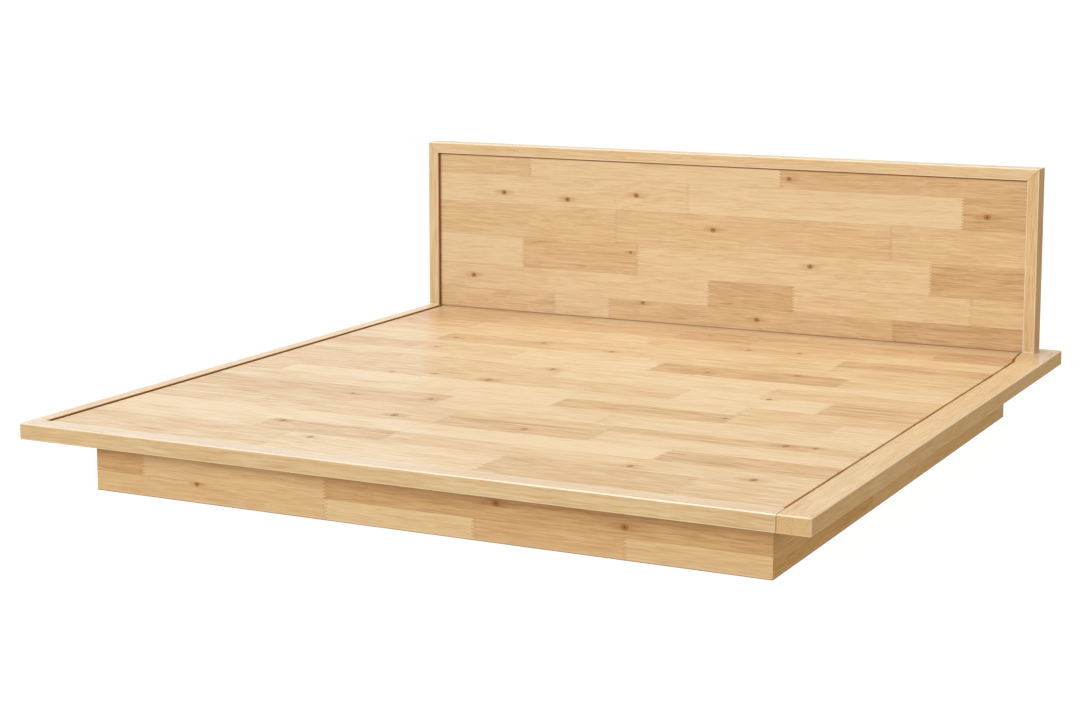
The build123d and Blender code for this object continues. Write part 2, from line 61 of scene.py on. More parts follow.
# Camera at the photograph's viewing angle
CAMERA_PLACE = (2.5803, -5.4127, 1.3784)
CAMERA_YAW = 26.623
CAMERA_PITCH = 7.848
CAMERA_LENS = 74.12
CAMERA_SENSOR = 36.0
CAMERA_SHIFT_Y = -0.1

# Studio: a broad light overhead, a low one from the front left, a bright floor and a bright backdrop
OVERHEAD_FROM = (-0.22, 0.06, 0.97)
OVERHEAD_SPREAD = 36.0
OVERHEAD_STRENGTH = 1.8
FRONT_FROM = (-0.42, -0.87, 0.27)
FRONT_SPREAD = 14.0
FRONT_STRENGTH = 1.22
SURROUNDINGS_GLOW = 0.27
RIGHT_GLOW = 0.28
BACKDROP_GLOW = 0.85
FLOOR_GLOW = 0.68
FLOOR_GLOW_IN_GLOSS = 0.04
FLOOR_GLOW_SEEN = 0.98
FLOOR_REFLECTANCE = 0.09
FLOOR_SIZE = 400.0
WHITE = "#FFFFFF"
WARM_FLOOR_LIGHT = "#FFEEC8"
WARM_RIGHT_LIGHT = "#FFE3C0"
# Where each glow sets in and where it is full or gone, along one axis of a direction of length 1
BACKDROP_BEHIND = (0.0, 0.5)
BACKDROP_HEIGHT = (0.25, 0.55)
BACKDROP_LEFT = (-0.3, 0.0)
RIGHT_SIDE = (-0.1, 0.4)

# Figure of a board's wood: how its grain and knots are scaled along, across and into the board, how plain its
# fine and broad streaks are, how far its fibres ripple, how far its staves differ in tone, and the pitch and
# length of its finger joints. The deck's grain and fingers are coarser, so that they show at its flat angle.
Figure = namedtuple(
    "Figure",
    "grain_scale knot_scale fine_contrast broad_contrast ripple tone_spread finger_pitch finger_length",
)
PLAIN_FIGURE = Figure((1, 1, 1), (1, 1, 1), 1.0, 1.0, 7 * MM, 1.0, 9 * MM, 8 * MM)
DECK_FIGURE = Figure((0.8, 0.5, 0.5), (1.3, 0.65, 1), 1.35, 0.7, 2 * MM, 1.3, 16 * MM, 10 * MM)
PLINTH_FIGURE = PLAIN_FIGURE._replace(fine_contrast=0.85, broad_contrast=0.55)

# Depth of a stave's colour, from the palest sapwood to the deepest heartwood, and how far staves of one tone
# differ by chance
TONES = {"pale": 0.06, "light": 0.2, "mid": 0.38, "honey": 0.54, "dark": 0.7}
MIDDLE_TONE = TONES["mid"]
TONE_CHANCE = 0.04

# A row of staves: how far its lower edge lies from the board's upper edge, where each stave ends and its
# tone, and where its knots are with their radii. Millimetres, from the board's upper left corner.
Row = namedtuple("Row", "end staves knots", defaults=((),))
BOARD_END = math.inf

# The first three rows, at the head, are set a tone deeper: painted shade where the headboard shades the deck
DECK_ROWS = (
    Row(95, ((560, "honey"), (1320, "mid"), (BOARD_END, "mid"))),
    Row(
        235,
        ((310, "dark"), (930, "honey"), (1180, "dark"), (1750, "honey"), (BOARD_END, "dark")),
        ((1015, 130, 7),),
    ),
    Row(
        355,
        ((275, "honey"), (900, "mid"), (1500, "honey"), (BOARD_END, "mid")),
        ((1215, 315, 9), (1370, 302, 9)),
    ),
    Row(452, ((640, "mid"), (1533, "mid"), (BOARD_END, "dark"))),
    Row(
        572,
        ((285, "light"), (640, "honey"), (960, "mid"), (1540, "mid"), (BOARD_END, "mid")),
        ((333, 520, 9), (617, 485, 9), (862, 525, 9)),
    ),
    Row(620, ((1020, "light"), (BOARD_END, "mid"))),
    Row(
        745,
        ((290, "honey"), (630, "mid"), (1075, "light"), (1633, "dark"), (BOARD_END, "mid")),
        ((355, 683, 6), (1240, 700, 8), (1485, 628, 10)),
    ),
    Row(828, ((460, "light"), (1215, "light"), (BOARD_END, "light"))),
    Row(950, ((325, "mid"), (865, "mid"), (1500, "light"), (BOARD_END, "mid")), ((828, 852, 10),)),
    Row(
        1100,
        ((1292, "mid"), (1705, "pale"), (BOARD_END, "honey")),
        ((437, 1090, 6), (560, 1057, 6), (738, 1070, 12), (1530, 973, 8)),
    ),
    Row(1200, ((130, "mid"), (1040, "pale"), (1525, "light"), (BOARD_END, "mid"))),
    Row(
        1308,
        ((715, "light"), (1045, "pale"), (1530, "honey"), (1810, "mid"), (BOARD_END, "light")),
        ((1515, 1250, 6),),
    ),
    Row(1458, ((758, "honey"), (1240, "light"), (BOARD_END, "light")), ((498, 1400, 6), (725, 1372, 8))),
    Row(1525, ((875, "mid"), (1303, "mid"), (BOARD_END, "honey")), ((1765, 1480, 10), (1838, 1472, 8))),
    Row(1640, ((875, "mid"), (1308, "honey"), (BOARD_END, "light")), ((740, 1590, 11), (1115, 1590, 9))),
    Row(1755, ((850, "pale"), (1535, "pale"), (BOARD_END, "honey"))),
    Row(
        1868,
        ((487, "light"), (850, "honey"), (BOARD_END, "mid")),
        ((520, 1774, 9), (1515, 1835, 9), (1820, 1835, 11)),
    ),
    Row(2060, ((610, "mid"), (1208, "light"), (1700, "honey"), (BOARD_END, "mid")), ((685, 1905, 8),)),
)
HEADBOARD_ROWS = (
    Row(62, ((337, "mid"), (1202, "pale"), (BOARD_END, "honey")), ((1230, 31, 7),)),
    Row(
        157,
        ((895, "light"), (1780, "pale"), (BOARD_END, "dark")),
        ((241, 121, 8), (472, 133, 8), (716, 108, 8), (1853, 116, 9)),
    ),
    Row(265, ((645, "mid"), (1560, "mid"), (BOARD_END, "mid")), ((980, 204, 8),)),
    Row(
        364,
        ((313, "pale"), (720, "honey"), (1686, "light"), (BOARD_END, "dark")),
        ((697, 292, 5), (1303, 299, 8)),
    ),
    Row(446, ((968, "light"), (1248, "dark"), (1812, "light"), (BOARD_END, "mid")), ((127, 402, 8),)),
    Row(
        520,
        ((425, "mid"), (622, "light"), (1572, "honey"), (BOARD_END, "dark")),
        ((741, 452, 6), (1130, 478, 8)),
    ),
)
PLINTH_FRONT_ROWS = (
    Row(92, ((143, "dark"), (683, "mid"), (BOARD_END, "dark")), ((1150, 50, 8), (1478, 68, 8))),
    Row(145, ((683, "mid"), (1090, "light"), (1478, "honey"), (BOARD_END, "mid")), ((308, 97, 6),)),
)
PLINTH_SIDE_ROWS = (
    Row(77, ((410, "honey"), (1130, "mid"), (1640, "dark"), (BOARD_END, "honey"))),
    Row(145, ((690, "honey"), (1320, "mid"), (BOARD_END, "mid"))),
)


def linear(hex_colour):
    """An sRGB hex colour as linear red, green, blue and alpha."""
    channels = [int(hex_colour[start : start + 2], 16) / 255 for start in (1, 3, 5)]
    return [c / 12.92 if c <= 0.04045 else ((c + 0.055) / 1.055) ** 2.4 for c in channels] + [1.0]


# Sockets of a Mix node for numbers and for colours, and of a Random Value node for numbers. They go by their
# place, because a node's sockets for other kinds of value share their names.
NUMBER_A, NUMBER_B = 2, 3
COLOUR_A, COLOUR_B, MIXED_COLOUR = 6, 7, 2
LEAST, MOST, RANDOM_NUMBER = 2, 3, 1


def add_node(tree, kind, inputs=None, **settings):
    """Add a node: settings are its properties, and inputs set its sockets or link them to other nodes."""
    node = tree.nodes.new(kind)
    for name, value in settings.items():
        setattr(node, name, value)
    for socket, value in (inputs or {}).items():
        if isinstance(value, bpy.types.Node):
            value = value.outputs[0]
        if isinstance(value, bpy.types.NodeSocket):
            tree.links.new(value, node.inputs[socket])
        else:
            node.inputs[socket].default_value = value
    return node


def new_group(name, kind, inputs, outputs):
    """An empty node group with named sockets, and what its inputs give."""
    tree = bpy.data.node_groups.new(name, kind)
    for way, sockets in (("INPUT", inputs), ("OUTPUT", outputs)):
        for socket, value in sockets.items():
            tree.interface.new_socket(socket, in_out=way, socket_type=f"NodeSocket{value}")
    return tree, add_node(tree, "NodeGroupInput").outputs


def new_material(name):
    """An empty material and its node tree."""
    material = bpy.data.materials.new(name)
    material.use_nodes = True
    material.node_tree.nodes.clear()
    return material, material.node_tree


# Clear lacquer on the wood: how much of it each finish has, and the depth of the grain that still shows
FINISHES = {"polished": 1.0, "lacquered": 0.25, "planed": 0.0}
COAT_ROUGHNESS = 0.25
WORN_COAT_ROUGHNESS = 0.45
WOOD_IOR = 1.5
BUMP_STRENGTH = 0.12
BUMP_DEPTH = 0.6 * MM

# Pine figure, shared by all the boards. Scales count to the metre along, across and into the board. Rings and
# the finest streaks are coarser than in real pine, so that they show.
PINE_COLOURS = (
    (0.0, "#F0DAB3"),
    (0.25, "#E9CEA3"),
    (0.5, "#E1C090"),
    (0.75, "#D6B07E"),
    (1.0, "#C09768"),
)
WANDER_SCALE = (1.2, 6, 6)
WANDER_REACH = (0, 20 * MM, 60 * MM)
RIPPLE_SCALE = 14
RING_WIDTH = 8 * MM
RING_PLANE = (0, 1, 1)
LATEWOOD_START, LATEWOOD_END = 0.35, 0.95
LATEWOOD_HEIGHT = 0.2
RING_PATCH_SCALE = (2.2, 14, 14)
FAINT_RINGS, PLAIN_RINGS = 0.4, 0.65
STAVE_RING_CONTRAST = 0.15
BOARD_RING_CONTRAST = 0.1
# Streaks along the fibres, about 90 x 3, 170 x 6, 560 x 17 and 140 x 50 mm: the input that sets how plain
# they are, their scale, their detail and their depth
STREAKS = (
    ("Fine contrast", (11, 320, 320), 2, 1.1),
    ("Fine contrast", (6, 180, 180), 3, 0.8),
    ("Broad contrast", (1.8, 60, 60), 3, 0.5),
    ("Broad contrast", (7, 20, 20), 2, 0.35),
)
STREAK_ROUGHNESS = 0.6
NOISE_MIDDLE = 0.5
PINE_ROUGHNESS = 0.4
STREAK_DULLNESS = 0.4
# Layers of a knot, from the outside in: how it is drawn out along and across, where it starts to fade and
# where it ends, in radii, how strong it is and its colour
KNOT_LAYERS = (
    ((0.28, 1.1, 0), 0.6, 2.0, 0.3, "#C08C50"),
    ((0.8, 1.0, 0), 0.95, 1.25, 0.6, "#93581E"),
    ((0.85, 1.05, 0), 0.65, 0.9, 0.6, "#BC803F"),
    ((0.9, 1.0, 0), 0.3, 0.6, 0.9, "#663410"),
)
KNOT_RAGGED_SCALE = 1.3
KNOT_RAGGEDNESS = 0.25
KNOT_SWELL = (0, 0, 20 * MM)
KNOT_STAIN_DEPTH = 0.5
NO_KNOT = (100.0, 100.0, 0.0)


def knot_layers(tree, knot):
    """How plain each layer of a knot is: a trailing stain, a dark rim, a brown body and a dark core."""
    ragged = add_node(tree, "ShaderNodeTexNoise", {"Vector": knot, "Scale": KNOT_RAGGED_SCALE, "Detail": 2})
    layers = []
    for stretch, inner, outer, strength, _ in KNOT_LAYERS:
        drawn = add_node(tree, "ShaderNodeVectorMath", {0: knot, 1: stretch}, operation="MULTIPLY")
        reach = add_node(tree, "ShaderNodeVectorMath", {0: drawn}, operation="LENGTH").outputs["Value"]
        uneven = add_node(
            tree, "ShaderNodeMath", {0: ragged, 1: KNOT_RAGGEDNESS, 2: reach}, operation="MULTIPLY_ADD"
        )
        layers.append(add_node(
            tree,
            "ShaderNodeMapRange",
            {"Value": uneven, "From Min": inner, "From Max": outer, "To Min": strength, "To Max": 0.0},
            interpolation_type="SMOOTHSTEP",
        ))
    return layers


def wandering_fibres(tree, grain, ripple):
    """The place in the grain, shifted as the fibres wander and ripple along the board."""
    slow = add_node(tree, "ShaderNodeVectorMath", {0: grain, 1: WANDER_SCALE}, operation="MULTIPLY")
    wander_noise = add_node(tree, "ShaderNodeTexNoise", {"Vector": slow, "Scale": 1, "Detail": 1})
    ripple_noise = add_node(
        tree, "ShaderNodeTexNoise", {"Vector": grain, "Scale": RIPPLE_SCALE, "Detail": 1}
    )
    fibres = grain
    for noise, reach in ((wander_noise, WANDER_REACH), (ripple_noise, ripple)):
        fibres = add_node(
            tree,
            "ShaderNodeVectorMath",
            {0: noise.outputs["Color"], 1: reach, 2: fibres},
            operation="MULTIPLY_ADD",
        ).outputs[0]
    return fibres


def growth_rings(tree, grain, fibres, knot_stain, contrast):
    """Latewood in rings round the pith, and its depth of colour: plain in some places and faint in others."""
    swell = add_node(tree, "ShaderNodeCombineXYZ", {"Z": knot_stain})
    parted = add_node(
        tree, "ShaderNodeVectorMath", {0: swell, 1: KNOT_SWELL, 2: fibres}, operation="MULTIPLY_ADD"
    )
    ring_place = add_node(tree, "ShaderNodeVectorMath", {0: parted, 1: RING_PLANE}, operation="MULTIPLY")
    pith_distance = add_node(tree, "ShaderNodeVectorMath", {0: ring_place}, operation="LENGTH")
    ring_count = add_node(
        tree, "ShaderNodeMath", {0: pith_distance.outputs["Value"], 1: RING_WIDTH}, operation="DIVIDE"
    )
    ring_phase = add_node(tree, "ShaderNodeMath", {0: ring_count}, operation="FRACT")
    latewood = add_node(
        tree,
        "ShaderNodeMapRange",
        {"Value": ring_phase, "From Min": LATEWOOD_START, "From Max": LATEWOOD_END},
        interpolation_type="SMOOTHSTEP",
    )
    patchwise = add_node(tree, "ShaderNodeVectorMath", {0: grain, 1: RING_PATCH_SCALE}, operation="MULTIPLY")
    patches = add_node(tree, "ShaderNodeTexNoise", {"Vector": patchwise, "Scale": 1})
    plainness = add_node(
        tree,
        "ShaderNodeMapRange",
        {"Value": patches, "From Min": FAINT_RINGS, "From Max": PLAIN_RINGS, "To Max": contrast},
    )
    return latewood, add_node(tree, "ShaderNodeMath", {0: latewood, 1: plainness}, operation="MULTIPLY")


def fibre_streaks(tree, fibres, contrasts):
    """Streaks along the fibres, the finest first, as more or less depth of colour."""
    streaks = []
    for contrast, scale, detail, amount in STREAKS:
        stretched = add_node(tree, "ShaderNodeVectorMath", {0: fibres, 1: scale}, operation="MULTIPLY")
        noise = add_node(
            tree,
            "ShaderNodeTexNoise",
            {"Vector": stretched, "Scale": 1, "Detail": detail, "Roughness": STREAK_ROUGHNESS},
        )
        middled = add_node(tree, "ShaderNodeMath", {0: noise, 1: NOISE_MIDDLE}, operation="SUBTRACT")
        share = add_node(tree, "ShaderNodeMath", {0: contrasts[contrast], 1: amount}, operation="MULTIPLY")
        streaks.append(add_node(tree, "ShaderNodeMath", {0: middled, 1: share}, operation="MULTIPLY"))
    return streaks


def pine_figure():
    """Pine's growth rings, fibre streaks and knots, from metres along, across and into the board."""
    tree, given = new_group(
        "pine_figure",
        "ShaderNodeTree",
        {
            "Grain": "Vector",
            "Knot": "Vector",
            "Tone": "Float",
            "Ring contrast": "Float",
            "Fine contrast": "Float",
            "Broad contrast": "Float",
            "Ripple": "Float",
        },
        {"Colour": "Color", "Roughness": "Float", "Height": "Float"},
    )
    layers = knot_layers(tree, given["Knot"])
    stain = layers[0]
    fibres = wandering_fibres(tree, given["Grain"], given["Ripple"])
    latewood, rings = growth_rings(tree, given["Grain"], fibres, stain, given["Ring contrast"])
    streaks = fibre_streaks(tree, fibres, given)
    finest = streaks[0]

    # Depth of colour: the stave's own tone, deepened by rings, knots and streaks
    stained = add_node(tree, "ShaderNodeMath", {0: stain, 1: KNOT_STAIN_DEPTH}, operation="MULTIPLY")
    depth = given["Tone"]
    for amount in (rings, stained, *streaks):
        depth = add_node(tree, "ShaderNodeMath", {0: depth, 1: amount}, operation="ADD").outputs[0]
    ramp = add_node(tree, "ShaderNodeValToRGB", {"Fac": depth})
    stops = ramp.color_ramp.elements
    while len(stops) < len(PINE_COLOURS):
        stops.new(0.5)
    for stop, (place, colour) in zip(stops, PINE_COLOURS):
        stop.position = place
        stop.color = linear(colour)

    colour = ramp.outputs["Color"]
    for layer, (*_, tint) in zip(layers, KNOT_LAYERS):
        colour = add_node(
            tree,
            "ShaderNodeMix",
            {"Factor": layer, COLOUR_A: colour, COLOUR_B: linear(tint)},
            data_type="RGBA",
        ).outputs[MIXED_COLOUR]
    roughness = add_node(
        tree, "ShaderNodeMath", {0: finest, 1: STREAK_DULLNESS, 2: PINE_ROUGHNESS}, operation="MULTIPLY_ADD"
    )
    height = add_node(
        tree, "ShaderNodeMath", {0: latewood, 1: LATEWOOD_HEIGHT, 2: finest}, operation="MULTIPLY_ADD"
    )
    add_node(tree, "NodeGroupOutput", {"Colour": colour, "Roughness": roughness, "Height": height})
    return tree


PINE_FIGURE = pine_figure()

# A line of colour on the wood: how far from its middle it reaches, its strength and colour, and the share of
# its reach that has the full strength, before it fades out. Glue lines are wider than real ones, so that they
# show.
Line = namedtuple("Line", "reach strength colour core", defaults=(0.4,))
GLUE_COLOUR = "#8E6234"
SHADE_AND_SEAM_COLOUR = "#7A4000"
GAP_SHADE_COLOUR = "#9C5E00"
HIGHLIGHT_COLOUR = "#FFF3DE"
END_GRAIN_COLOUR = "#D5A96C"
ROW_GLUE_LINE = Line(0.9 * MM, 0.3, GLUE_COLOUR, core=0.2)
FINGER_GLUE_LINE = Line(2 * MM, 0.4, GLUE_COLOUR, core=0.2)
# Painted highlight along the coated boards' edges, where the light would catch them
EDGE_HIGHLIGHT = Line(3.5 * MM, 0.75, HIGHLIGHT_COLOUR, core=0.6)
# Painted shade in the gap beside the left rail, under the headboard's top rail and beside its left stile, and
# where its panel meets the deck
RAIL_GAP_SHADE = Line(4.5 * MM, 0.95, GAP_SHADE_COLOUR)
TOP_SHADE_LINE = Line(7 * MM, 0.9, SHADE_AND_SEAM_COLOUR)
SIDE_SHADE_LINE = Line(3.5 * MM, 0.6, SHADE_AND_SEAM_COLOUR)
STILE_SHADE_LINE = Line(11 * MM, 0.85, SHADE_AND_SEAM_COLOUR)
FOOT_SHADE_LINE = Line(4 * MM, 0.85, GAP_SHADE_COLOUR)
MITRE_LINE = Line(0.9 * MM, 0.4, SHADE_AND_SEAM_COLOUR)
OVERHANG_SHADE = Line(75 * MM, 0.42, SHADE_AND_SEAM_COLOUR)
# A painted highlight along the plinth's bottom edge, and a dark line along its very bottom
FLOOR_EDGE_HIGHLIGHT = Line(7 * MM, 0.25, HIGHLIGHT_COLOUR)
FLOOR_LINE = Line(3 * MM, 0.6, SHADE_AND_SEAM_COLOUR)
END_GRAIN = Line(1 * MM, 0.4, END_GRAIN_COLOUR)
RAIL_GAP_DEPTH = 1 * MM

# A line where a board meets its neighbour. How far off a point is gets measured from the corner along the
# directions only, so that one direction gives a plane of the board, and two give an edge.
Seam = namedtuple("Seam", "line corner directions")


def draw_line(tree, colour, line, distance):
    """Lay a line over a colour, given the distance to the line's middle."""
    fade = add_node(
        tree,
        "ShaderNodeMapRange",
        {
            "Value": distance,
            "From Min": line.core * line.reach,
            "From Max": line.reach,
            "To Min": line.strength,
            "To Max": 0.0,
        },
    )
    return add_node(
        tree,
        "ShaderNodeMix",
        {"Factor": fade, COLOUR_A: colour, COLOUR_B: linear(line.colour)},
        data_type="RGBA",
    ).outputs[MIXED_COLOUR]


def draw_seams(tree, colour, seams):
    """Lines drawn along a board's joints, ends and edges: joint lines, end grain, painted shade and painted
    highlights.
    """
    place = add_node(tree, "ShaderNodeTexCoord").outputs["Object"]
    for seam in seams:
        apart = add_node(tree, "ShaderNodeCombineXYZ")
        for index, direction in enumerate(seam.directions):
            along = add_node(tree, "ShaderNodeVectorMath", {0: place, 1: direction}, operation="DOT_PRODUCT")
            past = add_node(
                tree,
                "ShaderNodeMath",
                {0: along.outputs["Value"], 1: Vector(seam.corner).dot(direction)},
                operation="SUBTRACT",
            )
            tree.links.new(past.outputs[0], apart.inputs[index])
        distance = add_node(tree, "ShaderNodeVectorMath", {0: apart}, operation="LENGTH").outputs["Value"]
        colour = draw_line(tree, colour, seam.line, distance)
    return colour


def paint_edge_highlights(tree, colour, box):
    """Painted highlight along a board's edges: how far the nearest edge is shows in the second nearest side
    of the board's box.
    """
    place = add_node(tree, "ShaderNodeTexCoord").outputs["Object"]
    to_corners = []
    for corner in box:
        apart = add_node(tree, "ShaderNodeVectorMath", {0: place, 1: corner}, operation="SUBTRACT")
        distances = add_node(tree, "ShaderNodeVectorMath", {0: apart}, operation="ABSOLUTE")
        to_corners.append(add_node(tree, "ShaderNodeSeparateXYZ", {0: distances}).outputs)
    x, y, z = (
        add_node(tree, "ShaderNodeMath", {0: low, 1: high}, operation="MINIMUM")
        for low, high in zip(*to_corners)
    )
    nearer = add_node(tree, "ShaderNodeMath", {0: x, 1: y}, operation="MINIMUM")
    farther = add_node(tree, "ShaderNodeMath", {0: x, 1: y}, operation="MAXIMUM")
    not_farthest = add_node(tree, "ShaderNodeMath", {0: farther, 1: z}, operation="MINIMUM")
    second = add_node(tree, "ShaderNodeMath", {0: nearer, 1: not_farthest}, operation="MAXIMUM")
    return draw_line(tree, colour, EDGE_HIGHLIGHT, second)


def figured_pine(tree, grain, knot, tone, ring_contrast, figure):
    """What the pine figure gives at a place in the grain."""
    return add_node(
        tree,
        "ShaderNodeGroup",
        {
            "Grain": grain,
            "Knot": knot,
            "Tone": tone,
            "Ring contrast": ring_contrast,
            "Fine contrast": figure.fine_contrast,
            "Broad contrast": figure.broad_contrast,
            "Ripple": figure.ripple,
        },
        node_tree=PINE_FIGURE,
    ).outputs


def lacquered_surface(tree, colour, pine, coat, coat_roughness):
    """A wood's surface: the bump and roughness of its figure under a clear coat."""
    bump = add_node(
        tree,
        "ShaderNodeBump",
        {"Strength": BUMP_STRENGTH, "Distance": BUMP_DEPTH, "Height": pine["Height"]},
    )
    shader = add_node(
        tree,
        "ShaderNodeBsdfPrincipled",
        {
            "Base Color": colour,
            "Roughness": pine["Roughness"],
            "Normal": bump,
            "IOR": WOOD_IOR,
            "Coat Weight": coat,
            "Coat Roughness": coat_roughness,
        },
    )
    add_node(tree, "ShaderNodeOutputMaterial", {"Surface": shader})


def lacquered_pine_staves(name, figure, coat_roughness, seams):
    """Pine staves under a clear satin lacquer: a soft sheen over the grain, and fine dark glue lines."""
    material, tree = new_material(name)
    grain = add_node(tree, "ShaderNodeAttribute", attribute_name="grain").outputs["Vector"]
    knot = add_node(tree, "ShaderNodeAttribute", attribute_name="knot").outputs["Vector"]
    tone = add_node(tree, "ShaderNodeAttribute", attribute_name="tone").outputs["Fac"]
    pine = figured_pine(tree, grain, knot, tone, STAVE_RING_CONTRAST, figure)

    # Glue lines along the rows and, plainer, at the finger joints
    colour = pine["Colour"]
    for gaps, line in (("row_gaps", ROW_GLUE_LINE), ("end_gaps", FINGER_GLUE_LINE)):
        pair = add_node(tree, "ShaderNodeAttribute", attribute_name=gaps).outputs["Vector"]
        sides = add_node(tree, "ShaderNodeSeparateXYZ", {0: pair}).outputs
        nearest = add_node(tree, "ShaderNodeMath", {0: sides["X"], 1: sides["Y"]}, operation="MINIMUM")
        colour = draw_line(tree, colour, line, nearest)
    # Joint lines, painted shade and painted highlights along the board's seams and edges
    colour = draw_seams(tree, colour, seams)
    lacquered_surface(tree, colour, pine, FINISHES["lacquered"], coat_roughness)
    return material


def single_board_pine(name, turn, shift, tone, coat, box, seams):
    """A single pine board, planed bare or under a clear coat with a painted highlight along its edges.

    turn brings the board's length to X, and shift sets its pith.
    """
    material, tree = new_material(name)
    place = add_node(tree, "ShaderNodeTexCoord").outputs["Object"]
    grain = add_node(tree, "ShaderNodeMapping", {"Vector": place, "Rotation": turn, "Location": shift})
    pine = figured_pine(tree, grain, NO_KNOT, tone, BOARD_RING_CONTRAST, PLAIN_FIGURE)
    colour = pine["Colour"]
    # Coated boards get a painted highlight along their edges
    if coat:
        colour = paint_edge_highlights(tree, colour, box)
    # End grain, mitre lines and painted shade along the board's ends and seams
    colour = draw_seams(tree, colour, seams)
    lacquered_surface(tree, colour, pine, coat, COAT_ROUGHNESS)
    return material


BEECH_COLOURS = ("#B98B5F", "#E0BC93")
BEECH_FLECK = 1.5 * MM
BEECH_ROUGHNESS = 0.6
ZINC_COLOURS = ("#9A9FA3", "#D3D6D8")
ZINC_CLOUD = 4 * MM
ZINC_BRIGHT, ZINC_DULL = 0.25, 0.5


def turned_beech():
    """Turned beech: pale pink-brown with short dark flecks."""
    material, tree = new_material("turned_beech")
    place = add_node(tree, "ShaderNodeTexCoord").outputs["Object"]
    flecks = add_node(tree, "ShaderNodeTexNoise", {"Vector": place, "Scale": 1 / BEECH_FLECK, "Detail": 3})
    ramp = add_node(tree, "ShaderNodeValToRGB", {"Fac": flecks})
    for stop, colour in zip(ramp.color_ramp.elements, BEECH_COLOURS):
        stop.color = linear(colour)
    shader = add_node(
        tree,
        "ShaderNodeBsdfPrincipled",
        {"Base Color": ramp, "Roughness": BEECH_ROUGHNESS, "IOR": WOOD_IOR},
    )
    add_node(tree, "ShaderNodeOutputMaterial", {"Surface": shader})
    return material


def zinc_plated_steel():
    """Zinc plate: bright grey metal with a faint blue cast and cloudy patches of dullness."""
    material, tree = new_material("zinc_plated_steel")
    place = add_node(tree, "ShaderNodeTexCoord").outputs["Object"]
    cloud = add_node(tree, "ShaderNodeTexNoise", {"Vector": place, "Scale": 1 / ZINC_CLOUD, "Detail": 4})
    ramp = add_node(tree, "ShaderNodeValToRGB", {"Fac": cloud})
    for stop, colour in zip(ramp.color_ramp.elements, ZINC_COLOURS):
        stop.color = linear(colour)
    roughness = add_node(
        tree, "ShaderNodeMapRange", {"Value": cloud, "To Min": ZINC_BRIGHT, "To Max": ZINC_DULL}
    )
    shader = add_node(
        tree, "ShaderNodeBsdfPrincipled", {"Base Color": ramp, "Roughness": roughness, "Metallic": 1.0}
    )
    add_node(tree, "ShaderNodeOutputMaterial", {"Surface": shader})
    return material


Stave = namedtuple("Stave", "row middle size finger_ends grain_shift knot_place tone")
STAVE_VECTORS = ("size", "finger_ends", "grain_shift", "knot_place")
EDGES_TO_A_FINGER = 4.0
FEWEST_FINGERS = 2


def unit_staves(tree, points, finger_edges):
    """A block of side 1 at each point, and the place of its own points in it: a row of them at each edge."""
    edge_points = add_node(tree, "ShaderNodeMath", {0: finger_edges, 1: 1.0}, operation="ADD")
    block = add_node(tree, "GeometryNodeMeshCube", {"Vertices Y": edge_points})
    marked = add_node(tree, "GeometryNodeCaptureAttribute", {"Geometry": block.outputs["Mesh"]})
    marked.capture_items.new("VECTOR", "unit")
    tree.links.new(add_node(tree, "GeometryNodeInputPosition").outputs[0], marked.inputs["unit"])
    placed = add_node(
        tree, "GeometryNodeInstanceOnPoints", {"Points": points, "Instance": marked.outputs["Geometry"]}
    )
    return add_node(tree, "GeometryNodeRealizeInstances", {0: placed}), marked.outputs["unit"]


def finger_offset(tree, unit, finger_edges, ends, length):
    """Fingers: pairs of points on a jointed end go half a finger out and half a finger in by turns."""
    parts = add_node(tree, "ShaderNodeSeparateXYZ", {0: unit}).outputs
    across = add_node(tree, "ShaderNodeMath", {0: parts["Y"], 1: 0.5}, operation="ADD")
    edge_count = add_node(tree, "ShaderNodeMath", {0: across, 1: finger_edges}, operation="MULTIPLY")
    edge = add_node(tree, "ShaderNodeMath", {0: edge_count}, operation="ROUND")
    half_edge = add_node(tree, "ShaderNodeMath", {0: edge, 1: 0.5}, operation="MULTIPLY")
    pair = add_node(tree, "ShaderNodeMath", {0: half_edge}, operation="FLOOR")
    odd = add_node(tree, "ShaderNodeMath", {0: pair, 1: 2.0}, operation="MODULO")
    zigzag = add_node(tree, "ShaderNodeMath", {0: odd, 1: 0.5}, operation="SUBTRACT")
    at_end = add_node(tree, "ShaderNodeMath", {0: parts["X"], 1: 0.5}, operation="ADD")
    jointed = add_node(
        tree,
        "ShaderNodeMix",
        {"Factor": at_end, NUMBER_A: ends["X"], NUMBER_B: ends["Y"]},
        data_type="FLOAT",
    )
    reach = add_node(tree, "ShaderNodeMath", {0: zigzag, 1: jointed}, operation="MULTIPLY")
    finger = add_node(tree, "ShaderNodeMath", {0: reach, 1: length}, operation="MULTIPLY")
    return add_node(tree, "ShaderNodeCombineXYZ", {"X": finger})


def round_the_knot(tree, place, knot_place, scale):
    """A place counted from the middle of a knot, in the knot's radii."""
    parts = add_node(tree, "ShaderNodeSeparateXYZ", {0: knot_place}).outputs
    middle = add_node(tree, "ShaderNodeCombineXYZ", {"X": parts["X"], "Y": parts["Y"]})
    from_middle = add_node(tree, "ShaderNodeVectorMath", {0: place, 1: middle}, operation="SUBTRACT")
    radii_to_metre = add_node(tree, "ShaderNodeMath", {0: 1.0, 1: parts["Z"]}, operation="DIVIDE")
    in_radii = add_node(
        tree, "ShaderNodeVectorMath", {0: from_middle, "Scale": radii_to_metre}, operation="SCALE"
    )
    return add_node(tree, "ShaderNodeVectorMath", {0: in_radii, 1: scale}, operation="MULTIPLY")


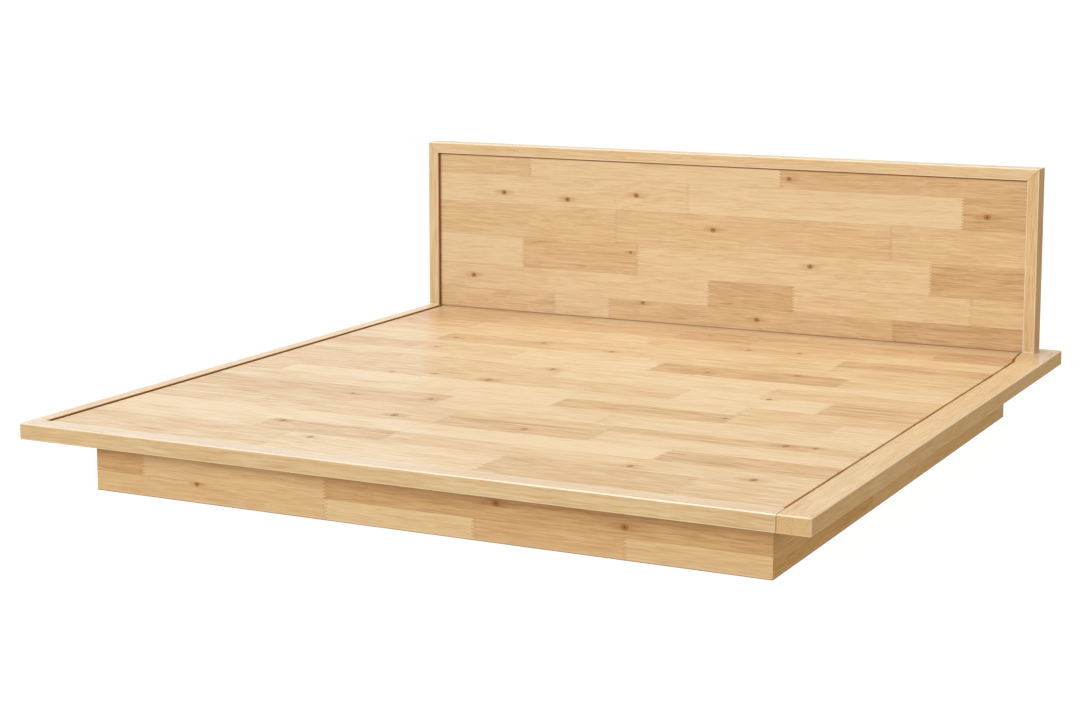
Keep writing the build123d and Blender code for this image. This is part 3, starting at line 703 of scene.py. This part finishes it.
def glue_gaps(tree, size, in_stave, ends):
    """Distances to the glue lines of a stave's two sides and two ends. A plain end is a metre further off."""
    half = add_node(tree, "ShaderNodeVectorMath", {0: size, "Scale": 0.5}, operation="SCALE")
    from_low = add_node(tree, "ShaderNodeVectorMath", {0: half, 1: in_stave}, operation="ADD")
    from_high = add_node(tree, "ShaderNodeVectorMath", {0: half, 1: in_stave}, operation="SUBTRACT")
    to_low = add_node(tree, "ShaderNodeSeparateXYZ", {0: from_low}).outputs
    to_high = add_node(tree, "ShaderNodeSeparateXYZ", {0: from_high}).outputs
    row_gaps = add_node(tree, "ShaderNodeCombineXYZ", {"X": to_low["Y"], "Y": to_high["Y"]})
    end_gaps = add_node(tree, "ShaderNodeCombineXYZ")
    for axis, to_end in (("X", to_low), ("Y", to_high)):
        plain = add_node(tree, "ShaderNodeMath", {0: 1.0, 1: ends[axis]}, operation="SUBTRACT")
        end_gap = add_node(tree, "ShaderNodeMath", {0: to_end["X"], 1: plain}, operation="ADD")
        tree.links.new(end_gap.outputs[0], end_gaps.inputs[axis])
    return row_gaps, end_gaps


def stave_tree():
    """Geometry nodes that turn a point for each stave into closed staves with interlocking finger joints."""
    tree, given = new_group(
        "finger_jointed_staves",
        "GeometryNodeTree",
        {
            "Staves": "Geometry",
            "Thickness": "Float",
            "Fingers": "Int",
            "Finger length": "Float",
            "Grain scale": "Vector",
            "Knot scale": "Vector",
            "Material": "Material",
        },
        {"Board": "Geometry"},
    )
    finger_edges = add_node(
        tree, "ShaderNodeMath", {0: given["Fingers"], 1: EDGES_TO_A_FINGER}, operation="MULTIPLY"
    )
    staves, unit = unit_staves(tree, given["Staves"], finger_edges)
    known = {}
    for name in STAVE_VECTORS:
        asked = add_node(tree, "GeometryNodeInputNamedAttribute", {"Name": name}, data_type="FLOAT_VECTOR")
        known[name] = asked.outputs[0]

    # The block at its full size, with fingers on its jointed ends
    depth_size = add_node(tree, "ShaderNodeCombineXYZ", {"Z": given["Thickness"]})
    size = add_node(tree, "ShaderNodeVectorMath", {0: known["size"], 1: depth_size}, operation="ADD")
    in_stave = add_node(tree, "ShaderNodeVectorMath", {0: unit, 1: size}, operation="MULTIPLY")
    position = add_node(tree, "GeometryNodeInputPosition")
    middle = add_node(tree, "ShaderNodeVectorMath", {0: position, 1: unit}, operation="SUBTRACT")
    in_board = add_node(tree, "ShaderNodeVectorMath", {0: middle, 1: in_stave}, operation="ADD")
    ends = add_node(tree, "ShaderNodeSeparateXYZ", {0: known["finger_ends"]}).outputs
    offset = finger_offset(tree, unit, finger_edges, ends, given["Finger length"])
    place = add_node(tree, "ShaderNodeVectorMath", {0: in_board, 1: offset}, operation="ADD")

    # What the wood's material reads
    from_pith = add_node(tree, "ShaderNodeVectorMath", {0: place, 1: known["grain_shift"]}, operation="ADD")
    grain = add_node(
        tree, "ShaderNodeVectorMath", {0: from_pith, 1: given["Grain scale"]}, operation="MULTIPLY"
    )
    knot = round_the_knot(tree, place, known["knot_place"], given["Knot scale"])
    row_gaps, end_gaps = glue_gaps(tree, size, in_stave, ends)
    stored = staves
    for name, value in (("grain", grain), ("knot", knot), ("row_gaps", row_gaps), ("end_gaps", end_gaps)):
        stored = add_node(
            tree,
            "GeometryNodeStoreNamedAttribute",
            {"Geometry": stored, "Name": name, "Value": value},
            data_type="FLOAT_VECTOR",
            domain="POINT",
        )

    # The front face goes to the board's plane
    sunk = add_node(tree, "ShaderNodeMath", {0: given["Thickness"], 1: -0.5}, operation="MULTIPLY")
    lowered = add_node(tree, "ShaderNodeCombineXYZ", {"Z": sunk})
    final = add_node(tree, "ShaderNodeVectorMath", {0: place, 1: lowered}, operation="ADD")
    shaped = add_node(tree, "GeometryNodeSetPosition", {"Geometry": stored, "Position": final})
    finished = add_node(tree, "GeometryNodeSetMaterial", {"Geometry": shaped, "Material": given["Material"]})
    add_node(tree, "NodeGroupOutput", {"Board": finished})
    return tree


STAVE_TREE = stave_tree()
FAR_KNOT = (10.0, 10.0, 10 * MM)
THINNEST_ROW = 1 * MM
# How far along, across and below a stave the pith of its log may lie
STAVE_PITH_ALONG = (0, 60)
STAVE_PITH_ACROSS = (-60 * MM, 60 * MM)
STAVE_PITH_DEPTH = (25 * MM, 120 * MM)


def lay_staves(rows, upper_left, extent, seed, figure=PLAIN_FIGURE):
    """The staves of the rows that lie in a board, in the board's own plane.

    upper_left is where the rows start, and extent the board's (left, right, lower, upper) edges. A stave with
    more than one knot is laid in pieces, with one knot in each.
    """
    left, right, lower, upper = extent
    chance = random.Random(seed)
    staves = []
    row_top = max(upper_left[1], upper)
    for row_index, row in enumerate(rows):
        row_bottom = upper_left[1] - row.end * MM
        top, bottom = min(row_top, upper), max(row_bottom, lower)
        start = left
        for stave_end, tone in row.staves:
            end = min(right, upper_left[0] + stave_end * MM)
            pith = Vector((
                chance.uniform(*STAVE_PITH_ALONG),
                chance.uniform(*STAVE_PITH_ACROSS) - (row_top + row_bottom) / 2,
                chance.uniform(*STAVE_PITH_DEPTH),
            ))
            spread_tone = MIDDLE_TONE + (TONES[tone] - MIDDLE_TONE) * figure.tone_spread
            depth = spread_tone + chance.uniform(-TONE_CHANCE, TONE_CHANCE)
            knots = sorted(
                (upper_left[0] + x * MM, upper_left[1] - y * MM, radius * MM)
                for x, y, radius in row.knots
                if start <= upper_left[0] + x * MM < end
            )
            cuts = [start, *((a[0] + b[0]) / 2 for a, b in zip(knots, knots[1:])), end]
            pieces = list(zip(cuts, cuts[1:])) if top - bottom >= THINNEST_ROW else []
            for index, (piece_start, piece_end) in enumerate(pieces):
                staves.append(Stave(
                    row=row_index,
                    middle=((piece_start + piece_end) / 2, (top + bottom) / 2, 0),
                    size=(piece_end - piece_start, top - bottom, 0),
                    finger_ends=(float(left < piece_start == start), float(piece_end == end < right), 0),
                    grain_shift=pith,
                    knot_place=knots[index] if knots else FAR_KNOT,
                    tone=depth,
                ))
            start = end
        row_top = row_bottom
    return staves


def mesh_of_points(name, places, **vectors):
    """A mesh of loose points, with a vector attribute for each further list."""
    points = bpy.data.meshes.new(name)
    points.from_pydata(places, [], [])
    for field, values in vectors.items():
        layer = points.attributes.new(field, "FLOAT_VECTOR", "POINT")
        layer.data.foreach_set("vector", [number for value in values for number in value])
    return points


def made_by_nodes(name, points, tree, settings, spent):
    """What a node tree makes of a mesh of points, as a plain mesh object without the spent attributes."""
    made = bpy.data.objects.new(name, points)
    bpy.context.scene.collection.objects.link(made)
    modifier = made.modifiers.new(tree.name, "NODES")
    modifier.node_group = tree
    for socket in tree.interface.items_tree:
        if socket.name in settings:
            modifier[socket.identifier] = settings[socket.name]
    depsgraph = bpy.context.evaluated_depsgraph_get()
    mesh = bpy.data.meshes.new_from_object(
        made.evaluated_get(depsgraph), preserve_all_data_layers=True, depsgraph=depsgraph
    )
    made.modifiers.clear()
    made.data = mesh
    for field in spent:
        mesh.attributes.remove(mesh.attributes[field])
    bpy.data.meshes.remove(points)
    return made


def stave_row(name, staves, thickness, figure, material):
    """One row of staves as a plain mesh object."""
    vectors = {field: [getattr(stave, field) for stave in staves] for field in STAVE_VECTORS}
    points = mesh_of_points(name, [stave.middle for stave in staves], **vectors)
    layer = points.attributes.new("tone", "FLOAT", "POINT")
    layer.data.foreach_set("value", [stave.tone for stave in staves])
    settings = {
        "Thickness": thickness,
        "Fingers": max(FEWEST_FINGERS, round(staves[0].size[1] / figure.finger_pitch)),
        "Finger length": figure.finger_length,
        "Grain scale": figure.grain_scale,
        "Knot scale": figure.knot_scale,
        "Material": material,
    }
    return made_by_nodes(name, points, STAVE_TREE, settings, STAVE_VECTORS)


def staved_board(name, staves, thickness, place, material, figure=PLAIN_FIGURE):
    """A board of staves as one mesh, with its front face at the place's origin."""
    rows = [
        stave_row(name, list(row), thickness, figure, material)
        for _, row in itertools.groupby(staves, key=lambda stave: stave.row)
    ]
    board = rows[0]
    with bpy.context.temp_override(active_object=board, object=board, selected_editable_objects=rows):
        bpy.ops.object.join()
    board.name = name
    board.data.transform(place)
    return board


def upright(place, heading):
    """A board's front face stood up, turned about Z by a heading in degrees: 0 faces the foot."""
    return Matrix.Translation(place) @ Euler((math.pi / 2, 0, math.radians(heading))).to_matrix().to_4x4()


def right_edge_of(node):
    """The (y, x) corners of a node's right edge, from the foot to the head."""
    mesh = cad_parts[node].data
    corners = {(round(v.co.y, 5), round(v.co.x, 5)) for v in mesh.vertices if v.co.x > 0}
    return sorted(corners)


def along_edge(corners, y):
    """How far right an edge lies at a place along it."""
    for (y0, x0), (y1, x1) in zip(corners, corners[1:]):
        if y0 <= y <= y1 and y1 > y0:
            return x0 + (x1 - x0) * (y - y0) / (y1 - y0)
    return corners[-1][1] if y > corners[-1][0] else corners[0][1]


DECK_SEED = 5
HEADBOARD_SEED = 11
PLINTH_SEED = 20
HEADBOARD_CLEARANCE = 0.2 * MM


def deck_panels():
    """Drop-in panels sawn from one staved board, so that the rows run on from panel to panel."""
    names = sorted(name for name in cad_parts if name.startswith("deck_panel_"))
    boxes = {name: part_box(name) for name in names}
    deck_head = max(high.y for low, high in boxes.values())
    deck_left = min(low.x for low, high in boxes.values())
    material = lacquered_pine_staves("lacquered_pine_deck", DECK_FIGURE, WORN_COAT_ROUGHNESS, ())
    for name, (low, high) in boxes.items():
        extent = (low.x, high.x, low.y, high.y)
        staves = lay_staves(DECK_ROWS, (deck_left, deck_head), extent, DECK_SEED, DECK_FIGURE)
        place = Matrix.Translation((0, 0, high.z))
        panel = staved_board(f"{name}_staves", staves, high.z - low.z, place, material, DECK_FIGURE)
        edge = right_edge_of(name)
        for vertex in panel.data.vertices:
            vertex.co.x = min(vertex.co.x, along_edge(edge, vertex.co.y))
        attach(panel, name)
        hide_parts(name)


def headboard_panel():
    """The headboard's panel, with its edges in the frame's grooves and its foot between the side rails."""
    low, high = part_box("headboard_panel")
    left_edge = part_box("headboard_stile_left")[1].x
    top_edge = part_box("headboard_top_rail")[0].z
    deck_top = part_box("deck_panel_1")[1].z
    # Painted shade under the top rail, beside the left stile and along the foot where the panel meets the
    # deck
    seams = (
        Seam(TOP_SHADE_LINE, (0, 0, top_edge), (Z_WAY,)),
        Seam(SIDE_SHADE_LINE, (left_edge, 0, 0), (X_WAY,)),
        Seam(FOOT_SHADE_LINE, (0, 0, deck_top), (Z_WAY,)),
    )
    material = lacquered_pine_staves("lacquered_pine_headboard", PLAIN_FIGURE, COAT_ROUGHNESS, seams)
    extent = (low.x, high.x, low.z, high.z)
    staves = lay_staves(HEADBOARD_ROWS, (left_edge, top_edge), extent, HEADBOARD_SEED)
    panel = staved_board("headboard_staves", staves, high.y - low.y, upright((0, low.y, 0), 0), material)
    rim_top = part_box("side_rail_left")[1].z + HEADBOARD_CLEARANCE
    rail_low, rail_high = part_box("head_rail")
    foot_left, foot_right = rail_low.x + HEADBOARD_CLEARANCE, rail_high.x - HEADBOARD_CLEARANCE
    for vertex in panel.data.vertices:
        if vertex.co.z < rim_top:
            vertex.co.x = max(foot_left, min(foot_right, vertex.co.x))
    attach(panel, BED)
    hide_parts("headboard_panel")


def plinth_boards():
    """The plinth's four staved boards, mitred where they meet."""
    low_front, high_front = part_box("plinth_front")
    # Painted shade under the rails' overhang, a painted highlight along the bottom edge and a dark line along
    # the very bottom
    seams = (
        Seam(OVERHANG_SHADE, high_front, (Z_WAY,)),
        Seam(FLOOR_EDGE_HIGHLIGHT, low_front, (Z_WAY,)),
        Seam(FLOOR_LINE, low_front, (Z_WAY,)),
    )
    material = lacquered_pine_staves("lacquered_pine_plinth", PLINTH_FIGURE, COAT_ROUGHNESS, seams)
    thickness = high_front.y - low_front.y
    height = high_front.z
    high_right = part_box("plinth_right")[1]
    boards = (
        ("plinth_front", PLINTH_FRONT_ROWS, 0, (0, low_front.y, 0), high_front.x),
        ("plinth_right", PLINTH_SIDE_ROWS, 90, (high_front.x, 0, 0), high_right.y),
        ("plinth_rear", PLINTH_FRONT_ROWS, 180, (0, high_right.y, 0), high_front.x),
        ("plinth_left", PLINTH_SIDE_ROWS, 270, (-high_front.x, 0, 0), high_right.y),
    )
    for seed, (name, rows, heading, place, half) in enumerate(boards, PLINTH_SEED):
        staves = lay_staves(rows, (-half, height), (-half, half, 0, height), seed)
        board = staved_board(f"{name}_staves", staves, thickness, Matrix.Identity(4), material)
        for vertex in board.data.vertices:
            reach = half + vertex.co.z
            vertex.co.x = max(-reach, min(reach, vertex.co.x))
        board.data.transform(upright(place, heading))
        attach(board, BED)
        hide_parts(name)


# A cross-headed screw: how finely it is rounded, and the length, width and twice the depth of each bar of its
# cross in head radii
HEAD_SIDES = 24
SHANK_SIDES = 16
CROSS_BARS = ((0.95, 0.25, 0.8), (0.25, 0.95, 0.8))
WELD_DISTANCE = 0.01 * MM
Screw = namedtuple("Screw", "head way length head_radius shank_radius")


def screw_tree():
    """Geometry nodes that drive in a countersunk cross-headed screw at each point, along its own way."""
    tree, given = new_group(
        "cross_headed_screws",
        "GeometryNodeTree",
        {
            "Heads": "Geometry",
            "Head radius": "Float",
            "Shank radius": "Float",
            "Length": "Float",
            "Seed": "Int",
            "Material": "Material",
        },
        {"Screws": "Geometry"},
    )
    head_radius, shank_radius, length = given["Head radius"], given["Shank radius"], given["Length"]

    # A cone for the head, flat at the origin, and a shank that starts half-way down it
    head_height = add_node(tree, "ShaderNodeMath", {0: head_radius, 1: shank_radius}, operation="SUBTRACT")
    head = add_node(
        tree,
        "GeometryNodeMeshCone",
        {
            "Vertices": HEAD_SIDES,
            "Radius Top": shank_radius,
            "Radius Bottom": head_radius,
            "Depth": head_height,
        },
    )
    shank_start = add_node(tree, "ShaderNodeMath", {0: head_height, 1: 0.5}, operation="MULTIPLY")
    shank_length = add_node(tree, "ShaderNodeMath", {0: length, 1: shank_start}, operation="SUBTRACT")
    shank_ends = add_node(tree, "ShaderNodeMath", {0: length, 1: shank_start}, operation="ADD")
    shank_middle = add_node(tree, "ShaderNodeMath", {0: shank_ends, 1: 0.5}, operation="MULTIPLY")
    shank = add_node(
        tree,
        "GeometryNodeMeshCylinder",
        {"Vertices": SHANK_SIDES, "Radius": shank_radius, "Depth": shank_length},
    )
    lowered = add_node(tree, "ShaderNodeCombineXYZ", {"Z": shank_middle})
    sunk = add_node(tree, "GeometryNodeTransform", {"Geometry": shank, "Translation": lowered})
    blank = add_node(tree, "GeometryNodeMeshBoolean", {"Mesh 2": head}, operation="UNION", solver="EXACT")
    tree.links.new(sunk.outputs[0], blank.inputs["Mesh 2"])

    # The cross cut into the head
    screw = add_node(
        tree, "GeometryNodeMeshBoolean", {"Mesh 1": blank}, operation="DIFFERENCE", solver="EXACT"
    )
    for bar in CROSS_BARS:
        size = add_node(tree, "ShaderNodeVectorMath", {0: bar, "Scale": head_radius}, operation="SCALE")
        cutter = add_node(tree, "GeometryNodeMeshCube", {"Size": size})
        tree.links.new(cutter.outputs[0], screw.inputs["Mesh 2"])

    # Each screw lies along its own way and has stopped at an angle of its own
    way = add_node(tree, "GeometryNodeInputNamedAttribute", {"Name": "way"}, data_type="FLOAT_VECTOR")
    aligned = add_node(tree, "FunctionNodeAlignRotationToVector", {"Vector": way}, axis="Z")
    angle = add_node(
        tree,
        "FunctionNodeRandomValue",
        {LEAST: 0.0, MOST: math.tau, "Seed": given["Seed"]},
        data_type="FLOAT",
    ).outputs[RANDOM_NUMBER]
    about_way = add_node(tree, "ShaderNodeCombineXYZ", {"Z": angle})
    spin = add_node(tree, "FunctionNodeEulerToRotation", {0: about_way})
    turned = add_node(
        tree, "FunctionNodeRotateRotation", {"Rotation": aligned, "Rotate By": spin}, rotation_space="LOCAL"
    )
    placed = add_node(
        tree,
        "GeometryNodeInstanceOnPoints",
        {"Points": given["Heads"], "Instance": screw, "Rotation": turned},
    )
    screws = add_node(tree, "GeometryNodeRealizeInstances", {0: placed})
    finished = add_node(tree, "GeometryNodeSetMaterial", {"Geometry": screws, "Material": given["Material"]})
    add_node(tree, "NodeGroupOutput", {"Screws": finished})
    return tree


def separate_solids(mesh):
    """The corners of each solid in a mesh, solid by solid."""
    welded = bmesh.new()
    welded.from_mesh(mesh)
    bmesh.ops.remove_doubles(welded, verts=welded.verts, dist=WELD_DISTANCE)
    unseen = set(welded.verts)
    solids = []
    for first in welded.verts:
        if first not in unseen:
            continue
        unseen.remove(first)
        solid = [first]
        for vertex in solid:
            for edge in vertex.link_edges:
                other = edge.other_vert(vertex)
                if other in unseen:
                    unseen.remove(other)
                    solid.append(other)
        solids.append([vertex.co.copy() for vertex in solid])
    welded.free()
    return solids


def driven_screw(corners):
    """A screw read off its solid: it runs along the longest side, from the wider end to the narrower one."""
    low = Vector([min(values) for values in zip(*corners)])
    high = Vector([max(values) for values in zip(*corners)])
    size = high - low
    axis = max(range(3), key=lambda index: size[index])
    ends = []
    for end in (low, high):
        middle = (low + high) / 2
        middle[axis] = end[axis]
        rim = [corner for corner in corners if abs(corner[axis] - end[axis]) < WELD_DISTANCE]
        ends.append((max((corner - middle).length for corner in rim), middle))
    (shank_radius, tip), (head_radius, head) = sorted(ends, key=lambda end: end[0])
    return Screw(head, (tip - head).normalized(), (tip - head).length, head_radius, shank_radius)


def driven_screws(material):
    """Every group of screws, with a cross in each head."""
    tree = screw_tree()
    names = sorted(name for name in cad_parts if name.endswith("_screws"))
    for seed, name in enumerate(names):
        screws = [driven_screw(corners) for corners in separate_solids(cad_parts[name].data)]
        points = mesh_of_points(name, [screw.head for screw in screws], way=[screw.way for screw in screws])
        settings = {
            "Head radius": screws[0].head_radius,
            "Shank radius": screws[0].shank_radius,
            "Length": screws[0].length,
            "Seed": seed,
            "Material": material,
        }
        group = made_by_nodes(f"{name}_cross_headed", points, tree, settings, ["way"])
        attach(group, BED)
        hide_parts(name)


# Single boards keep their solids: the turn that brings each one's fibres to X, its finish and its tone, by
# the name of its node or by how the names of its kind begin
ALONG_X = (0, 0, 0)
ALONG_Y = (0, 0, -math.pi / 2)
ALONG_Z = (0, math.pi / 2, 0)
LENGTHWISE = {ALONG_X: X_WAY, ALONG_Y: Y_WAY, ALONG_Z: Z_WAY}
Board = namedtuple("Board", "turn finish tone")
SINGLE_BOARDS = {
    "foot_rail": Board(ALONG_X, "polished", 0.38),
    "side_rail_left": Board(ALONG_Y, "lacquered", 0.26),
    "side_rail_right": Board(ALONG_Y, "lacquered", 0.34),
    "headboard_top_rail": Board(ALONG_X, "lacquered", 0.3),
    "headboard_stile_left": Board(ALONG_Z, "lacquered", 0.32),
    "headboard_stile_right": Board(ALONG_Z, "lacquered", 0.5),
    "head_rail": Board(ALONG_X, "lacquered", 0.5),
    "plinth_spine": Board(ALONG_Y, "planed", 0.4),
    "plinth_divider": Board(ALONG_X, "planed", 0.4),
    "cross_bearer": Board(ALONG_X, "planed", 0.4),
    "end_bearer": Board(ALONG_X, "planed", 0.4),
    "headboard_foot_cleat": Board(ALONG_X, "planed", 0.4),
    "headboard_batten": Board(ALONG_Z, "planed", 0.45),
    "corner_block": Board(ALONG_Z, "planed", 0.45),
}
BOARD_SEED = 3
BOARD_PITH_ACROSS = (-30 * MM, 30 * MM)
BOARD_PITH_DEPTH = (40 * MM, 90 * MM)
BOARD_PITH_ALONG = (0, 40)
# Sides that are glued to a neighbour get no painted highlight: the low or high corner of the box is drawn out
# past them
NO_WAY = Vector((0, 0, 0))
DRAWN_OUT = {"foot_rail": (NO_WAY, X_WAY), "side_rail_right": (-X_WAY, NO_WAY)}


def board_seams():
    """Where the rails and the headboard's frame meet their neighbours, by node: the mitre lines, and painted
    shade in the recess round the panel and in the gap beside the left rail.
    """
    low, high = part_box("headboard_top_rail")
    panel_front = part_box("headboard_panel")[0].y
    stile_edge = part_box("headboard_stile_left")[1].x
    rail_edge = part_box("side_rail_left")[1].x
    gap_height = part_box("deck_panel_1")[1].z - RAIL_GAP_DEPTH
    left_mitre = Seam(MITRE_LINE, (low.x, 0, high.z), ((X_WAY + Z_WAY).normalized(),))
    right_mitre = Seam(MITRE_LINE, (high.x, 0, high.z), ((X_WAY - Z_WAY).normalized(),))
    # Painted shade on the frame's inner faces, in the recess round the panel
    under_top = Seam(STILE_SHADE_LINE, (0, panel_front, low.z), (Y_WAY, Z_WAY))
    beside_stile = Seam(STILE_SHADE_LINE, (stile_edge, panel_front, 0), (X_WAY, Y_WAY))
    return {
        "headboard_top_rail": (left_mitre, right_mitre, under_top),
        "headboard_stile_left": (left_mitre, beside_stile),
        "headboard_stile_right": (right_mitre,),
        # Painted shade on the left rail's inner face, in the gap beside the deck
        "side_rail_left": (Seam(RAIL_GAP_SHADE, (rail_edge, 0, gap_height), (X_WAY, Z_WAY)),),
    }


def dress(node, material):
    """Give a node that keeps its solid its material."""
    for slot in node.material_slots:
        slot.material = material


def single_boards():
    """Rails, the headboard's frame and the carcass, each with a grain of its own."""
    seams = board_seams()
    chance = random.Random(BOARD_SEED)
    for name, node in sorted(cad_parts.items()):
        kinds = [kind for kind in SINGLE_BOARDS if name.startswith(kind)]
        if not kinds:
            continue
        board = SINGLE_BOARDS[kinds[0]]
        pith = Vector((0, chance.uniform(*BOARD_PITH_ACROSS), chance.uniform(*BOARD_PITH_DEPTH)))
        pith.x = chance.uniform(*BOARD_PITH_ALONG)
        # The name of the corner blocks' screws begins like the blocks' own, so they take part in the draws,
        # but the screws with crossed heads replace them
        if node.hide_render:
            continue
        low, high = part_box(name)
        middle = Euler(board.turn).to_matrix() @ ((low + high) / 2)
        ends = [Seam(END_GRAIN, end, (LENGTHWISE[board.turn],)) for end in (low, high)]
        out_low, out_high = DRAWN_OUT.get(name, (NO_WAY, NO_WAY))
        dress(node, single_board_pine(
            f"{board.finish}_pine_{name}",
            board.turn,
            pith - middle,
            board.tone,
            FINISHES[board.finish],
            (low + out_low, high + out_high),
            (*ends, *seams.get(name, ())),
        ))


def fasteners(beech, zinc):
    """Dowels, and the bolts, washers, barrel nuts and plates."""
    for name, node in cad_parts.items():
        if name.endswith("_dowels"):
            dress(node, beech)
        elif name in ("barrel_nuts", "bolt_washers", "corner_plates", "headboard_bolts"):
            dress(node, zinc)


def add_sun(name, direction, spread, strength):
    """A far, soft light that shines from a direction."""
    lamp = bpy.data.lights.new(name, "SUN")
    lamp.energy = strength
    lamp.angle = math.radians(spread)
    light = bpy.data.objects.new(name, lamp)
    light.rotation_euler = Vector(direction).to_track_quat("Z", "Y").to_euler()
    bpy.context.scene.collection.objects.link(light)


def white_floor():
    """A floor lit from below: white where it is seen, warm on the wood above it, and dim in reflections."""
    mesh = bpy.data.meshes.new("floor")
    half = FLOOR_SIZE / 2
    corners = ((-half, -half, 0), (half, -half, 0), (half, half, 0), (-half, half, 0))
    mesh.from_pydata(corners, [], [(0, 1, 2, 3)])
    floor = bpy.data.objects.new("floor", mesh)
    bpy.context.scene.collection.objects.link(floor)
    material, tree = new_material("white_floor")
    rays = add_node(tree, "ShaderNodeLightPath").outputs
    unseen = add_node(
        tree,
        "ShaderNodeMix",
        {"Factor": rays["Is Glossy Ray"], NUMBER_A: FLOOR_GLOW, NUMBER_B: FLOOR_GLOW_IN_GLOSS},
    )
    strength = add_node(
        tree,
        "ShaderNodeMix",
        {"Factor": rays["Is Camera Ray"], NUMBER_A: unseen, NUMBER_B: FLOOR_GLOW_SEEN},
    )
    tint = add_node(
        tree,
        "ShaderNodeMix",
        {"Factor": rays["Is Camera Ray"], COLOUR_A: linear(WARM_FLOOR_LIGHT), COLOUR_B: linear(WHITE)},
        data_type="RGBA",
    ).outputs[MIXED_COLOUR]
    glow = add_node(tree, "ShaderNodeEmission", {"Color": tint, "Strength": strength})
    matt = add_node(tree, "ShaderNodeBsdfDiffuse", {"Color": (*[FLOOR_REFLECTANCE] * 3, 1.0)})
    both = add_node(tree, "ShaderNodeAddShader", {0: glow, 1: matt})
    add_node(tree, "ShaderNodeOutputMaterial", {"Surface": both})
    mesh.materials.append(material)


def white_surroundings():
    """Soft light all round: bright low down behind on the left, warm on the right, white where it is seen."""
    world = bpy.data.worlds.new("white_surroundings")
    world.use_nodes = True
    tree = world.node_tree
    tree.nodes.clear()
    around = add_node(tree, "ShaderNodeTexCoord").outputs["Generated"]
    way = add_node(tree, "ShaderNodeSeparateXYZ", {0: around}).outputs
    behind, low_down, leftward, rightward = (
        add_node(
            tree,
            "ShaderNodeMapRange",
            {"Value": way[axis], "From Min": start, "From Max": end, "To Min": first, "To Max": 1.0 - first},
        )
        for axis, (start, end), first in (
            ("Y", BACKDROP_BEHIND, 0.0),
            ("Z", BACKDROP_HEIGHT, 1.0),
            ("X", BACKDROP_LEFT, 1.0),
            ("X", RIGHT_SIDE, 0.0),
        )
    )
    low_behind = add_node(tree, "ShaderNodeMath", {0: behind, 1: low_down}, operation="MULTIPLY")
    backdrop = add_node(tree, "ShaderNodeMath", {0: low_behind, 1: leftward}, operation="MULTIPLY")
    from_right = add_node(
        tree, "ShaderNodeMath", {0: rightward, 1: RIGHT_GLOW, 2: SURROUNDINGS_GLOW}, operation="MULTIPLY_ADD"
    )
    glow = add_node(
        tree, "ShaderNodeMath", {0: backdrop, 1: BACKDROP_GLOW, 2: from_right}, operation="MULTIPLY_ADD"
    )
    seen = add_node(tree, "ShaderNodeLightPath").outputs["Is Camera Ray"]
    strength = add_node(tree, "ShaderNodeMath", {0: glow, 1: seen}, operation="MAXIMUM")
    unseen = add_node(tree, "ShaderNodeMath", {0: 1.0, 1: seen}, operation="SUBTRACT")
    warmth = add_node(tree, "ShaderNodeMath", {0: rightward, 1: unseen}, operation="MULTIPLY")
    tint = add_node(
        tree,
        "ShaderNodeMix",
        {"Factor": warmth, COLOUR_A: linear(WHITE), COLOUR_B: linear(WARM_RIGHT_LIGHT)},
        data_type="RGBA",
    ).outputs[MIXED_COLOUR]
    shade = add_node(tree, "ShaderNodeBackground", {"Color": tint, "Strength": strength})
    add_node(tree, "ShaderNodeOutputWorld", {"Surface": shade})
    bpy.context.scene.world = world


def camera():
    """The camera at the photograph's viewing angle."""
    lens = bpy.data.cameras.new("camera")
    lens.lens = CAMERA_LENS
    lens.sensor_width = CAMERA_SENSOR
    lens.shift_y = CAMERA_SHIFT_Y
    lens.clip_end = 2 * FLOOR_SIZE
    view = bpy.data.objects.new("camera", lens)
    view.location = CAMERA_PLACE
    view.rotation_euler = (math.radians(90 - CAMERA_PITCH), 0, math.radians(CAMERA_YAW))
    bpy.context.scene.collection.objects.link(view)
    bpy.context.scene.camera = view


zinc = zinc_plated_steel()
deck_panels()
headboard_panel()
plinth_boards()
driven_screws(zinc)
single_boards()
fasteners(turned_beech(), zinc)
white_floor()
white_surroundings()
add_sun("overhead_softbox", OVERHEAD_FROM, OVERHEAD_SPREAD, OVERHEAD_STRENGTH)
add_sun("front_softbox", FRONT_FROM, FRONT_SPREAD, FRONT_STRENGTH)
bpy.context.scene.view_settings.view_transform = "Standard"
camera()
